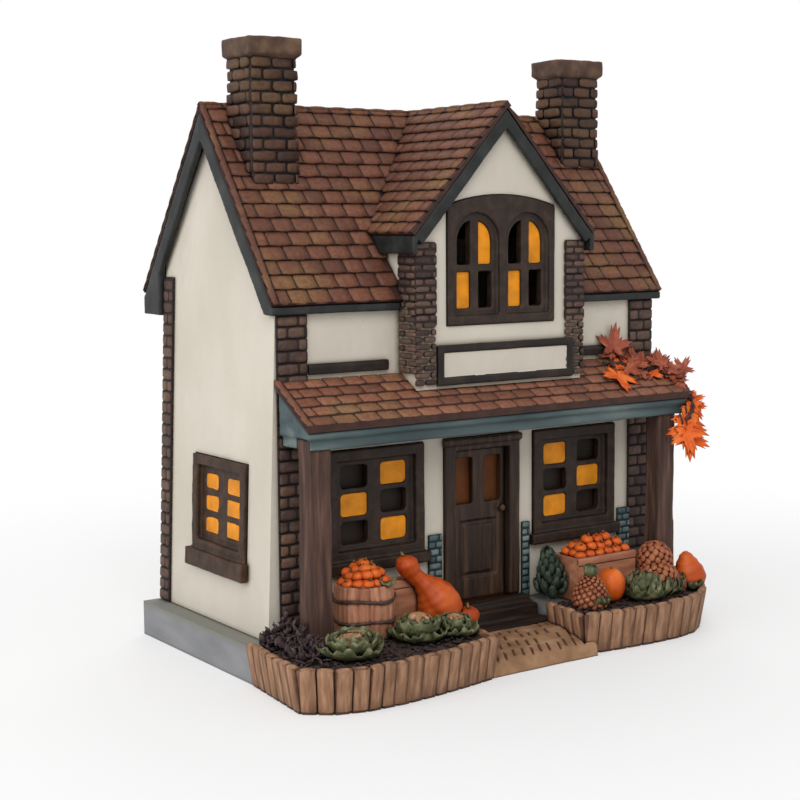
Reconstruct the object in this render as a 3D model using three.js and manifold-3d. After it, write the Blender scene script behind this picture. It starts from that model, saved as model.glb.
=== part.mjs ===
// Lighted pumpkin house figurine: a porch cottage with garden beds and a battery light inside.
// Millimetres, +Z up, +X along the front, the front faces -Y.
import * as THREE from 'three';
import { mergeVertices } from 'three/addons/utils/BufferGeometryUtils.js';
import Module from 'manifold-3d';

const wasm = await Module();
wasm.setup();

// Gap left between two pieces that touch
const seatGap = 0.3;

// Plinth under the house and the garden floor in front of it
const plinthHalfWidth = 102.5;
const plinthFront = 45.3;
const plinthBack = 43;
const plinthHeight = 13.4;
const cavityLedge = 4;
const coverRecess = 4;

// Walls, drawn in slightly towards the eaves
const wallHalfWidthFoot = 94.9;
const wallHalfWidthEaves = 90;
const wallFront = 43;
const wallBack = 41.7;
const wallThickness = 4.6;

// Main roof
const ridgeAcross = 5.3;
const ridgeHeight = 207.3;
const frontEaveAcross = -47;
const frontEaveHeight = 134.5;
const backEaveAcross = 56.5;
const backEaveHeight = 136.5;
const roofHalfLength = 92.9;
const roofCourses = 14;
const tileStep = 0.9;
const tileLayer = 1.9;
const roofDeck = 2.4;
const ridgeTile = 2.6;
const vergeBoardDepth = 6;
const vergeBoardThickness = 2.3;
const frontFasciaFoot = 130.4;
const backSoffitHeight = 127;
const fasciaThickness = 2;
const fasciaSetBack = 0.6;

// Front bay and the gabled roof over it
const bayCentre = 2.6;
const bayHalfWidth = 39.6;
const bayFront = 53.7;
const bayFloorHeight = 111;
const dormerRidgeHeight = 207.3;
const dormerEaveHalfWidth = 44;
const dormerEaveHeight = 159.1;
const dormerCourses = 12;
const dormerOverhang = 3.9;
const dormerBoardDepth = 4.6;
const dormerBoardThickness = 2;
const dormerFasciaDrop = 8;

// Chimneys, left then right
const chimneyHalfWidth = 11.6;
const chimneyHalfDepth = 10.2;
const chimneyAboveRidge = 22.6;
const chimneyCapHeight = 7;
const chimneyCapLip = 2;
const chimneyFlue = 3;
const chimneyBelowRidge = 39.3;
const chimneyTaper = 0.6;
const chimneyLeftX = -73;
const chimneyLeftY = -7;
const chimneyRightX = 79.7;
const chimneyRightY = -1.9;

// Brickwork
const brickCourse = 4.35;
const brickJoint = 0.5;
const brickProud = 1.1;
const quoinWidth = 12.6;
const sideQuoinWidth = 8;
const bayQuoinWidth = 8.6;

// Porch
const porchHalfWidth = 91;
const porchFront = 65.5;
const porchFrontHeight = 93.6;
const porchBackHeight = 107.5;
const porchCourses = 5;
const porchSlab = 2.6;
const beamTopTier = 2.4;
const beamLowTier = 4;
const beamThickness = 4.2;
const beamStep = 1.3;
const beamInset = 0.7;
const postWidth = 8.8;
const postDepth = 7.8;
const postInsetLeft = 2.3;
const postInsetRight = 5.1;
const postSetBack = 3;
const postFlare = 0.35;

// Openings in the front wall
const windowCentre = 48.3;
const windowWidth = 43;
const windowHeight = 41.6;
const windowSill = 38.6;
const windowProud = 1.5;
const sashRecess = 2.4;
const frameWidth = 4;
const sashStile = 2.9;
const sashRail = 2.1;
const sashGroove = 0.8;
const paneRecess = 1.6;
const paneCorner = 1.2;
const sillDepth = 3.4;
const sillThickness = 3.8;
const sillOverhang = 1.8;

// Windows in the gable ends
const sideWindowCentre = -5.9;
const sideWindowWidth = 41;
const sideWindowHeight = 36.6;
const sideWindowSill = 39;
const sideSashStile = 3.7;
const sideSashRail = 3.3;
const sideSillThickness = 6.4;

// Arched double window in the bay
const bayWindowWidth = 51.4;
const bayWindowFoot = 124.4;
const bayWindowHeadroom = 3.7;
const bayWindowRise = 4;
const bayArchWidth = 21.6;
const bayArchSpacing = 24.4;
const bayArchFoot = 127.8;
const bayArchBorder = 2.6;
const bayPaneWidth = 7;
const bayUpperPane = 20.6;
const bayPaneMargin = 2.6;
const bayWindowProud = 1;

// Door
const doorCentre = 1.2;
const doorWidth = 36.4;
const doorTop = 80.4;
const doorFrameWidth = 5;
const doorLeafThickness = 2.6;
const doorLeafRecess = 1.8;
const doorPaneWidth = 8.2;
const doorPaneFoot = 54;
const doorPaneTop = 72;
const doorPanelFoot = 24.5;
const doorPanelTop = 47.3;
const doorPanelWidth = 17.6;
const doorKnobHeight = 51;
const doorKnobRadius = 1.5;
const thresholdHeight = 16;
const stepDepth = 7.6;
const stepWidth = 41;
const lowerStepSpread = 1.6;
const lowerStepHeight = 8.6;

// Sign board and wall timbers
const signLeft = -28.3;
const signRight = 37.3;
const signBelowPorch = 5.1;
const signHeight = 15.1;
const signBorder = 2.6;
const signProud = 1.6;
const railHeight = 4;
const railAbovePorch = 5.1;
const railProud = 1.5;
const railLip = 0.5;
const railLength = 34.5;

// Board fence round the garden and the path between its two halves
const fenceHeight = 15.8;
const fenceFlare = 2.6;
const fenceCore = 2.3;
const fenceBoard = 0.9;
const fenceGroove = 0.7;
const fenceBoardLeft = 5.9;
const fenceBoardRight = 6.8;
const pathLeft = -29.2;
const pathRight = 17.4;
const pathBack = 61.2;
const pathFront = 88.6;
const pathBackHeight = 8;
const pathFrontHeight = 6.4;
const bedSoil = 13.4;
const pathSeat = 3.7;

// Barrel of small pumpkins
const barrelX = -62.5;
const barrelY = -56;
const barrelHeight = 20;
const barrelFootRadius = 9.6;
const barrelBellyRadius = 11.2;
const barrelRimRadius = 10.8;
const barrelWall = 1.4;
const hoopProud = 0.4;
const hoopWidth = 2;
const smallPumpkin = 3.3;

// Crates
const crateLeftX = -40.2;
const crateLeftY = -50;
const crateLeftLength = 18;
const crateLeftDepth = 6.4;
const crateLeftHeight = 17.6;
const crateRightX = 48.4;
const crateRightY = -56.4;
const crateRightLength = 30.4;
const crateRightDepth = 15.4;
const crateRightHeight = 17.4;
const crateBoard = 1.6;
const crateWell = 5.6;

// Cabbages, as [x, y, radius, height]
const cabbageAtPost = [-82, -77, 10.6, 9.4];
const cabbageAtBarrel = [-50.4, -71.5, 10.2, 11.2];
const cabbageAtPath = [-36, -74, 8.6, 8.4];
const cabbageAtCrate = [57.6, -76.4, 10.4, 13];

// Gourd from its stalk down to the soil, as [x, y, height, radius], and the small pumpkin beside it
const gourdSpine = [
  [-43.4, -54.4, 26.8, 0.8],
  [-43, -54.4, 25.2, 3.4],
  [-41.4, -54.8, 22.2, 3.5],
  [-38.6, -55.6, 18.6, 3.2],
  [-35.6, -56.6, 15.6, 5],
  [-32.4, -57.8, 12, 7.9],
  [-29.8, -58.6, 8.2, 8.8],
  [-28.2, -59, 4.2, 7.2],
  [-27.6, -59.2, 0.3, 3.6],
];
const gourdPumpkin = [-20.6, -64.6, 3.5, 4.1];

// Pine cone and oval pumpkin
const pineConePlace = [31.2, -73];
const pineConeProfile = [[0, 0], [6.4, 0], [7.3, 3], [6.6, 7], [4.4, 10.6], [1.4, 13], [0, 14]];
const ovalPumpkinPlace = [43.6, -71.2, 7];
const ovalPumpkinRadius = 5.4;
const ovalPumpkinHalfHeight = 7.2;

// Round lumps over the soil, as [x, y, height, radius]
const cornLumps = [
  [70.6, -69.6, 5, 8.6],
  [72.4, -66.4, 11, 7.6],
  [73.4, -64.8, 16, 5.2],
  [67.6, -71.6, 3, 6.4],
  [76, -71, 3.6, 6.4],
];
const squashLumps = [[86, -71.6, 7, 6.6], [84.6, -71, 12.6, 3.2]];
const shrubLumps = [[27.6, -53, 5, 5], [27, -51.6, 11, 4.2], [26.4, -50.6, 16, 2.8], [28, -60, 3.4, 4.4]];

// Maple garland, as [distance in from the porch's right end, back from its front edge, height over its tiles]
const garlandRoute = [
  [30, 18.1, 1.5],
  [21, 16.5, 1.5],
  [11, 14.1, 1.5],
  [2.6, 10.5, 1.9],
  [-2.2, 6, -1],
  [-2.6, 1.5, -6],
  [1.8, -2.5, -8.5],
  [6.8, -1.9, -12.9],
];
const vineRadius = 1;
const vineSteps = 10;
const leafThickness = 1;

// Maple leaves on the vine: size, turn, tilt and swing in degrees, and a place like the route's
const garlandLeaves = [
  { size: 7, turn: -10, tilt: 66, swing: 6, place: [26.5, 17.3, 1.5] },
  { size: 10, turn: 130, tilt: 34, swing: 0, place: [28, 17.6, 2.1] },
  { size: 7, turn: -160, tilt: 36, swing: 0, place: [12.4, 14.5, 2.1] },
  { size: 6.4, turn: -120, tilt: 40, swing: 10, place: [3, 10.7, 2.3] },
  { size: 6, turn: 180, tilt: 80, swing: 70, place: [-2.6, 4.5, -2.6] },
  { size: 9.4, turn: 186, tilt: 88, swing: -6, place: [6.4, -2.1, -12.2] },
];

// Base cover, battery compartment and battery door
const coverThickness = 2.6;
const boxWall = 1.6;
const boxCentreX = -30.5;
const boxLength = 61;
const boxWidth = 31.2;
const boxHeight = 17.2;
const cellLength = 50.5;
const cellRadius = 7.25;
const cellNubRadius = 2.75;
const cellNubHeight = 1;
const doorFlapThickness = 1.8;
const doorFlapClearance = 0.4;
const hingeRadius = 1.3;
const hingePinRadius = 0.8;
const hingePinClearance = 0.1;
const springWire = 0.7;
const springSteps = 6;
const contactSheet = 0.5;

// Light board and switch
const boardX = 24;
const boardLength = 42;
const boardWidth = 24;
const boardThickness = 1.6;
const boardHeight = 10.2;
const lampRadius = 2.5;
const lampHeight = 8.6;
const switchX = 32;
const switchLength = 13;
const switchWidth = 6.4;
const knobLength = 3.6;
const knobTravel = 3.5;
const knobClearance = 0.35;

// Screw and hook tabs that hold the cover
const screwX = 79;
const screwY = 0;
const hookWidth = 7;
const hookReach = 1.9;
const hookThickness = 1.8;
const hookRows = [-22, 22];
const screwHeadRadius = 2.9;
const screwHeadHeight = 1.5;
const screwShankRadius = 1.3;
const screwLength = 8;
const bossRadius = 4.2;

// Colours
const paint = {
  stone: [0x85868a, 0.8],
  cream: [0xd8d0c2, 0.75],
  tile: [0x78493a, 0.8],
  trim: [0x2e3434, 0.6],
  brick: [0x503a38, 0.85],
  chimney: [0x5c463c, 0.85],
  beam: [0x5f7476, 0.6],
  timber: [0x4f3f40, 0.8],
  frame: [0x40363a, 0.7],
  fence: [0xa87858, 0.85],
  path: [0xa07d5a, 0.9],
  orange: [0xd9601f, 0.5],
  green: [0x4e5f48, 0.75],
  barrel: [0xb98768, 0.85],
  cone: [0x9a5a38, 0.85],
  leaf: [0xd0602a, 0.7],
  amber: [0xd8902a, 0.35],
  plastic: [0x2c2c2e, 0.55],
  steel: [0xb8babd, 0.35],
  cell: [0x3a3c40, 0.4],
  board: [0x2f5b3a, 0.5],
  switch: [0xd8d8d4, 0.5],
};
const metals = new Set(['steel']);

// A geometry as a solid, with its faces turned outwards
function solid(geometry) {
  const plain = geometry.clone();
  plain.deleteAttribute('normal');
  plain.deleteAttribute('uv');
  const merged = mergeVertices(plain, 1e-4);
  const place = merged.attributes.position.array;
  const corners = [];
  let volume = 0;
  for (let i = 0; i < merged.index.count; i += 3) {
    const face = [0, 1, 2].map((k) => merged.index.getX(i + k));
    if (new Set(face).size === 3) {
      corners.push(...face);
      const [a, b, c] = face.map((k) => new THREE.Vector3().fromArray(place, k * 3));
      volume += a.dot(b.cross(c));
    }
  }
  if (volume < 0) {
    corners.reverse();
  }
  return new wasm.Manifold(new wasm.Mesh({
    numProp: 3,
    vertProperties: new Float32Array(place),
    triVerts: new Uint32Array(corners),
  }));
}

function join(pieces) {
  return pieces.reduce((whole, piece) => whole.add(piece));
}

function cut(piece, cutters) {
  return cutters.reduce((rest, cutter) => rest.subtract(cutter), piece);
}

function shapeOf(outline) {
  return new THREE.Shape(outline.map(([a, b]) => new THREE.Vector2(a, b)));
}

function extruded(shape, depth, curveSegments = 4) {
  return new THREE.ExtrudeGeometry(shape, { depth, bevelEnabled: false, curveSegments });
}

// An outline in X and Y, raised from z0 to z1
function prismZ(outline, z0, z1) {
  return solid(extruded(shapeOf(outline), z1 - z0).translate(0, 0, z0));
}

// An outline in Y and Z, run from x0 to x1
function prismX(outline, x0, x1) {
  const geometry = extruded(shapeOf(outline), x1 - x0);
  geometry.applyMatrix4(new THREE.Matrix4().set(0, 0, 1, x0, 1, 0, 0, 0, 0, 1, 0, 0, 0, 0, 0, 1));
  return solid(geometry);
}

// An outline in X and Z, run from y0 to y1
function shapeAlongY(shape, y0, y1, curveSegments = 4) {
  return solid(extruded(shape, y1 - y0, curveSegments).rotateX(Math.PI / 2).translate(0, y1, 0));
}

function prismY(outline, y0, y1) {
  return shapeAlongY(shapeOf(outline), y0, y1);
}

function block(x0, x1, y0, y1, z0, z1) {
  const geometry = new THREE.BoxGeometry(x1 - x0, y1 - y0, z1 - z0);
  return solid(geometry.translate((x0 + x1) / 2, (y0 + y1) / 2, (z0 + z1) / 2));
}

function rod(radius, z0, z1, x, y, sides = 16) {
  const geometry = new THREE.CylinderGeometry(radius, radius, z1 - z0, sides);
  return solid(geometry.rotateX(Math.PI / 2).translate(x, y, (z0 + z1) / 2));
}

function rodAlongX(radius, x0, x1, y, z, sides = 16) {
  const geometry = new THREE.CylinderGeometry(radius, radius, x1 - x0, sides);
  return solid(geometry.rotateZ(Math.PI / 2).translate((x0 + x1) / 2, y, z));
}

// A profile of [radius, height] pairs turned about an upright axis
function turned(profile, x, y, z, sides = 16) {
  const points = profile.map(([radius, height]) => new THREE.Vector2(radius, height));
  return solid(new THREE.LatheGeometry(points, sides).rotateX(Math.PI / 2).translate(x, y, z));
}

function ball(x, y, z, rx, ry = rx, rz = rx, across = 8, down = 6) {
  const geometry = new THREE.SphereGeometry(1, across, down);
  return solid(geometry.rotateX(Math.PI / 2).scale(rx, ry, rz).translate(x, y, z));
}

// Rings of equal point count, joined in order and closed at both ends
function loft(rings) {
  const count = rings[0].length;
  const positions = rings.flat().flat();
  const faces = [];
  for (let r = 0; r + 1 < rings.length; r += 1) {
    for (let i = 0; i < count; i += 1) {
      const a = r * count + i;
      const b = r * count + (i + 1) % count;
      faces.push(a, b, b + count, a, b + count, a + count);
    }
  }
  const last = (rings.length - 1) * count;
  for (let i = 1; i + 1 < count; i += 1) {
    faces.push(0, i + 1, i);
    faces.push(last, last + i, last + i + 1);
  }
  const geometry = new THREE.BufferGeometry();
  geometry.setAttribute('position', new THREE.Float32BufferAttribute(positions, 3));
  geometry.setIndex(faces);
  return solid(geometry);
}

// A rectangle in plan at one height, as a ring for a loft
function rectangleRing(x0, x1, y0, y1, z) {
  return [[x0, y0, z], [x1, y0, z], [x1, y1, z], [x0, y1, z]];
}

// One side of a pitched roof, from its ridge to its eave
function pitch(ridge, eave) {
  const run = [eave[0] - ridge[0], eave[1] - ridge[1]];
  const length = Math.hypot(...run);
  const side = Math.sign(run[0]);
  const out = [-run[1] * side / length, run[0] * side / length];
  return {
    length,
    at: (fraction, depth) => [
      ridge[0] + run[0] * fraction - out[0] * depth,
      ridge[1] + run[1] * fraction - out[1] * depth,
    ],
    height: (across, depth) => ridge[1] + (across - ridge[0]) * run[1] / run[0] - depth / out[1],
  };
}

// Two sides of a roof: their lines at a depth below the tile tips
function roofLines(ridge, leftEave, rightEave) {
  const left = pitch(ridge, leftEave);
  const right = pitch(ridge, rightEave);
  const slope = (side, eave) => (eave[1] - ridge[1]) / (eave[0] - ridge[0]);
  const leftSlope = slope(left, leftEave);
  const rightSlope = slope(right, rightEave);
  const peak = (depth) => {
    const dropLeft = ridge[1] - left.height(ridge[0], depth);
    const dropRight = ridge[1] - right.height(ridge[0], depth);
    const shift = (dropLeft - dropRight) / (leftSlope - rightSlope);
    return [ridge[0] + shift, left.height(ridge[0] + shift, depth)];
  };
  return { left, right, peak };
}

// Everything under the roof lines at a depth, between two walls and above a floor
function underRoof(lines, depth, low, high, floor) {
  return [
    [low, floor],
    [high, floor],
    [high, lines.right.height(high, depth)],
    lines.peak(depth),
    [low, lines.left.height(low, depth)],
  ];
}

// A band that follows both slopes between two depths
function roofBand(lines, near, far) {
  return [
    lines.left.at(1, far),
    lines.peak(far),
    lines.right.at(1, far),
    lines.right.at(1, near),
    lines.peak(near),
    lines.left.at(1, near),
  ];
}

// Tile courses as a stepped band, each course lifting at its lower edge
function tileBand(lines, courses) {
  const steps = (side) => {
    const points = [];
    const ridgeEnd = ridgeTile / side.length;
    for (let i = 0; i < courses; i += 1) {
      const upper = ridgeEnd + (1 - ridgeEnd) * i / courses;
      const lower = ridgeEnd + (1 - ridgeEnd) * (i + 1) / courses;
      points.push(side.at(upper, tileStep), side.at(lower, 0));
    }
    return points;
  };
  const capEdge = (side) => side.at(ridgeTile / side.length, 0);
  return [
    lines.left.at(1, tileLayer),
    ...steps(lines.left).reverse(),
    capEdge(lines.left),
    lines.peak(0),
    capEdge(lines.right),
    ...steps(lines.right),
    lines.right.at(1, tileLayer),
    lines.peak(tileLayer),
  ];
}

const mainLines = roofLines(
  [ridgeAcross, ridgeHeight],
  [frontEaveAcross, frontEaveHeight],
  [backEaveAcross, backEaveHeight],
);
const dormerLines = roofLines(
  [bayCentre, dormerRidgeHeight],
  [bayCentre - dormerEaveHalfWidth, dormerEaveHeight],
  [bayCentre + dormerEaveHalfWidth, dormerEaveHeight],
);
const wallTopDepth = tileLayer + roofDeck + seatGap;
const wallFoot = plinthHeight + seatGap;
const bayFoot = porchFrontHeight - 1;
const bayBack = ridgeAcross - 5.3;
const railTop = porchBackHeight + railAbovePorch;
const bayWindowShoulder = dormerLines.left.height(
  bayCentre - bayWindowWidth / 2,
  wallTopDepth,
) - bayWindowHeadroom;
const bayArchTop = bayWindowShoulder - bayArchBorder;
const bayPaneRail = bayArchTop - bayUpperPane;
const stepLeft = doorCentre - stepWidth / 2 - lowerStepSpread;
const beyond = 400;
const chimneyTop = ridgeHeight + chimneyAboveRidge;
const chimneyFoot = ridgeHeight - chimneyBelowRidge;
const signFoot = porchBackHeight - signBelowPorch;
const signTop = signFoot + signHeight;

// Half the house width at a height, following the draft of the gable walls
const wallDraft = (wallHalfWidthFoot - wallHalfWidthEaves) / (frontEaveHeight - plinthHeight);
function wallHalfWidth(z) {
  return wallHalfWidthFoot - wallDraft * (z - plinthHeight);
}

// A run in X narrowed with height so that its ends lie in the gable walls
function draftedPrism(outline, inset) {
  const geometry = extruded(shapeOf(outline), 2);
  geometry.applyMatrix4(new THREE.Matrix4().set(0, 0, 1, -1, 1, 0, 0, 0, 0, 1, 0, 0, 0, 0, 0, 1));
  const place = geometry.attributes.position;
  for (let i = 0; i < place.count; i += 1) {
    place.setX(i, place.getX(i) * (wallHalfWidth(place.getZ(i)) - inset));
  }
  return solid(geometry);
}

// The porch roof plane and a block of everything below it
const porchFall = (porchBackHeight - porchFrontHeight) / (porchFront - wallFront);
function porchHeight(y) {
  return porchFrontHeight + porchFall * (y + porchFront);
}
function belowPorch(lift) {
  const front = -porchFront - 10;
  return prismX([
    [front, 0],
    [-wallFront, 0],
    [-wallFront, porchHeight(-wallFront) + lift],
    [front, porchHeight(front) + lift],
  ], -beyond, beyond);
}
function belowMainRoof(depth) {
  const outline = underRoof(mainLines, depth, frontEaveAcross - 12, backEaveAcross + 12, 0);
  return prismX(outline, -beyond, beyond);
}
function bayBlock(grow, back) {
  const lines = underRoof(
    dormerLines,
    wallTopDepth - grow,
    bayCentre - bayHalfWidth - grow,
    bayCentre + bayHalfWidth + grow,
    bayFoot,
  );
  return prismY(lines, -bayFront - grow, back);
}

// Fence plans on the ground, run so that the garden lies to the left
const fenceLeftPlan = [
  [-102.8, -45.3], [-106.6, -83.5], [-97.5, -91], [-86.2, -94.5], [-72, -95],
  [-58.7, -94], [-43, -91.8], [pathLeft - 0.2, -89.3], [pathLeft - 0.2, -62],
];
const fenceRightPlan = [
  [pathRight + 3, -62], [pathRight + 0.2, -85], [34, -87], [50, -88.3], [64, -88.2],
  [74.5, -86], [82.5, -81], [88.6, -73.8], [94, -64], [98.6, -54], [102.8, -45.3],
];
const fenceCornersLeft = [1, 7];
const fenceCornersRight = [1];

// Outward directions at the points of a plan, mitred at its bends
function planNormals(plan) {
  return plan.map((point, i) => {
    const before = plan[Math.max(i - 1, 0)];
    const after = plan[Math.min(i + 1, plan.length - 1)];
    const unit = (from, to) => {
      const length = Math.hypot(to[0] - from[0], to[1] - from[1]) || 1;
      return [(to[1] - from[1]) / length, -(to[0] - from[0]) / length];
    };
    const first = i > 0 ? unit(before, point) : unit(point, after);
    const second = i < plan.length - 1 ? unit(point, after) : first;
    const sum = [first[0] + second[0], first[1] + second[1]];
    const square = sum[0] * sum[0] + sum[1] * sum[1];
    return [sum[0] * 2 / square, sum[1] * 2 / square];
  });
}

function offsetPlan(plan, distance) {
  const normals = planNormals(plan);
  return plan.map(([x, y], i) => [x + normals[i][0] * distance, y + normals[i][1] * distance]);
}

// A wall along a plan that leans outwards with height
function leaningWall(plan, inner, outer, height) {
  const side = (distance, z) => offsetPlan(plan, distance + fenceFlare * z / fenceHeight);
  const [innerFoot, outerFoot] = [side(inner, 0), side(outer, 0)];
  const [innerTop, outerTop] = [side(inner, height), side(outer, height)];
  return loft(plan.map((point, i) => [
    [...innerFoot[i], 0],
    [...outerFoot[i], 0],
    [...outerTop[i], height],
    [...innerTop[i], height],
  ]));
}

// The place on a plan at a distance along one of its segments, pushed outwards by an offset
function planStation(plan, segment, t, offset) {
  const normals = planNormals(plan);
  const mix = (from, to) => from.map((value, k) => value + (to[k] - value) * t);
  const point = mix(plan[segment], plan[segment + 1]);
  const normal = mix(normals[segment], normals[segment + 1]);
  return [point[0] + normal[0] * offset, point[1] + normal[1] * offset];
}

// A leaning fence of upright boards with V joints, laid out between the corners of its plan
function fence(plan, corners, boardWidth) {
  const lengths = plan.slice(1).map((point, i) => Math.hypot(point[0] - plan[i][0], point[1] - plan[i][1]));
  const along = (index) => lengths.slice(0, index).reduce((sum, length) => sum + length, 0);
  const stations = [];
  const ends = [0, ...corners, plan.length - 1];
  for (let run = 0; run + 1 < ends.length; run += 1) {
    const start = along(ends[run]);
    const total = along(ends[run + 1]) - start;
    const count = Math.max(1, Math.round(total / boardWidth));
    for (let i = 0; i < count; i += 1) {
      const height = fenceHeight - 0.5 + 0.5 * Math.sin(2.4 * i + run);
      const from = start + total * i / count;
      const to = start + total * (i + 1) / count;
      const bends = plan.map((point, k) => along(k)).filter((d) => d > from + 0.5 && d < to - 0.5);
      stations.push([from, fenceBoard, fenceHeight - 1.3]);
      [from + fenceGroove, ...bends, to - fenceGroove].forEach((d) => stations.push([d, 0, height]));
    }
  }
  stations.push([along(plan.length - 1), fenceBoard, fenceHeight - 1.3]);
  const lean = (z) => fenceFlare * z / fenceHeight;
  const whole = loft(stations.map(([distance, inset, height]) => {
    let segment = 0;
    while (segment + 1 < lengths.length && distance > along(segment + 1)) {
      segment += 1;
    }
    const t = (distance - along(segment)) / lengths[segment];
    const corner = (offset, z) => [...planStation(plan, segment, t, offset + lean(z)), z];
    return [
      corner(-fenceBoard - fenceCore, 0),
      corner(-inset, 0),
      corner(-inset, height),
      corner(-fenceBoard - fenceCore, height),
    ];
  }));
  return cut(whole, [block(-beyond, beyond, -plinthFront - seatGap, beyond, -1, beyond)]);
}

// Everything on the outer side of the line where a fence meets the soil
function beyondFence(plan) {
  return leaningWall(plan, -fenceBoard - fenceCore - seatGap, 2 * fenceHeight, 2 * fenceHeight);
}

const cavityHalfWidth = wallHalfWidthFoot - wallThickness - cavityLedge;
const cavityFront = wallFront - wallThickness - cavityLedge / 2;
const cavityBack = wallBack - wallThickness - cavityLedge / 2;
const recessHalfWidth = cavityHalfWidth + cavityLedge;
const recessFront = cavityFront + cavityLedge;
const recessBack = cavityBack + cavityLedge;
const coverFace = coverRecess - seatGap - coverThickness;
const screwTop = coverFace + screwHeadHeight + screwLength;

// Plinth, garden floor and the seat for the cover, one casting open underneath
function gardenBase() {
  const plinth = block(-plinthHalfWidth, plinthHalfWidth, -plinthFront, plinthBack, 0, plinthHeight);
  const left = offsetPlan(fenceLeftPlan, -fenceBoard - fenceCore - seatGap);
  const right = offsetPlan(fenceRightPlan, -fenceBoard - fenceCore - seatGap);
  const inner = -plinthFront + 2;
  const leftBed = prismZ([[left[0][0], inner], ...left, [left[left.length - 1][0], inner]], 0, bedSoil);
  const rightBed = prismZ(
    [[right[0][0], inner], ...right, [right[right.length - 1][0], inner]],
    0,
    bedSoil,
  );
  const gourdBed = block(pathLeft - 6, stepLeft - seatGap, -pathBack + seatGap, inner, 0, bedSoil);
  const pathBed = block(pathLeft + 0.9, pathRight - 0.3, -pathFront + 9, inner, 0, pathSeat);
  const cavity = block(-cavityHalfWidth, cavityHalfWidth, -cavityFront, cavityBack, -1, plinthHeight + 1);
  const recess = block(-recessHalfWidth, recessHalfWidth, -recessFront, recessBack, -1, coverRecess);
  const whole = cut(join([plinth, leftBed, rightBed, gourdBed, pathBed]), [cavity, recess]);
  const boss = join([
    rod(bossRadius, coverRecess, plinthHeight, screwX, screwY, 16),
    block(screwX, cavityHalfWidth + 1, screwY - bossRadius, screwY + bossRadius, coverRecess, plinthHeight),
  ]);
  const screwHole = rod(screwShankRadius + seatGap, coverRecess - 1, screwTop + 1, screwX, screwY, 12);
  const tabSlots = hookRows.map((y) => block(
    -cavityHalfWidth - hookReach - seatGap,
    -cavityHalfWidth + 1,
    y - hookWidth / 2 - seatGap,
    y + hookWidth / 2 + seatGap,
    coverRecess + 1,
    coverRecess + 1 + hookThickness + 2 * seatGap,
  ));
  return cut(whole.add(boss), [screwHole, ...tabSlots]);
}

// Hollow walls, open at the top under the roof, at the foot and behind the bay
function houseShell() {
  const outer = draftedPrism(underRoof(mainLines, wallTopDepth, -wallFront, wallBack, wallFoot), 0);
  const inner = draftedPrism(underRoof(
    mainLines,
    wallTopDepth - 1,
    -wallFront + wallThickness,
    wallBack - wallThickness,
    wallFoot - 5,
  ), wallThickness);
  return cut(outer, [
    inner,
    bayRoom(),
    frontWindowOpening(-windowCentre),
    frontWindowOpening(windowCentre),
    doorOpening(),
    sideOpening(-1),
    sideOpening(1),
  ]);
}

// The room inside the bay, open towards the house
function bayRoom() {
  return prismY(underRoof(
    dormerLines,
    wallTopDepth - 1,
    bayCentre - bayHalfWidth + wallThickness,
    bayCentre + bayHalfWidth - wallThickness,
    bayFloorHeight,
  ), -bayFront + wallThickness, bayBack);
}

// Front and side walls of the bay, set against the front wall and up through the main roof
function bayShell() {
  const behindWall = prismX(underRoof(
    mainLines,
    wallTopDepth - seatGap,
    -wallFront - seatGap,
    backEaveAcross,
    0,
  ), -beyond, beyond);
  return cut(
    bayBlock(0, bayBack - seatGap),
    [bayRoom(), behindWall, belowPorch(seatGap), bayWindowOpening()],
  );
}

function mainRoof() {
  const tiles = prismX(tileBand(mainLines, roofCourses), -roofHalfLength, roofHalfLength);
  const deckHalf = roofHalfLength - vergeBoardThickness - seatGap;
  const deck = prismX(roofBand(mainLines, tileLayer - 0.2, tileLayer + roofDeck), -deckHalf, deckHalf);
  return cut(join([tiles, deck]), [bayBlock(seatGap, bayBack)]);
}

function dormerRoof() {
  const front = -bayFront - dormerOverhang;
  const back = ridgeAcross;
  const tiles = prismY(tileBand(dormerLines, dormerCourses), front, back);
  const deckFront = front + dormerBoardThickness + seatGap;
  const deck = prismY(roofBand(dormerLines, tileLayer - 0.2, tileLayer + roofDeck), deckFront, back);
  return cut(join([tiles, deck]), [belowMainRoof(-seatGap)]);
}

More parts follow.
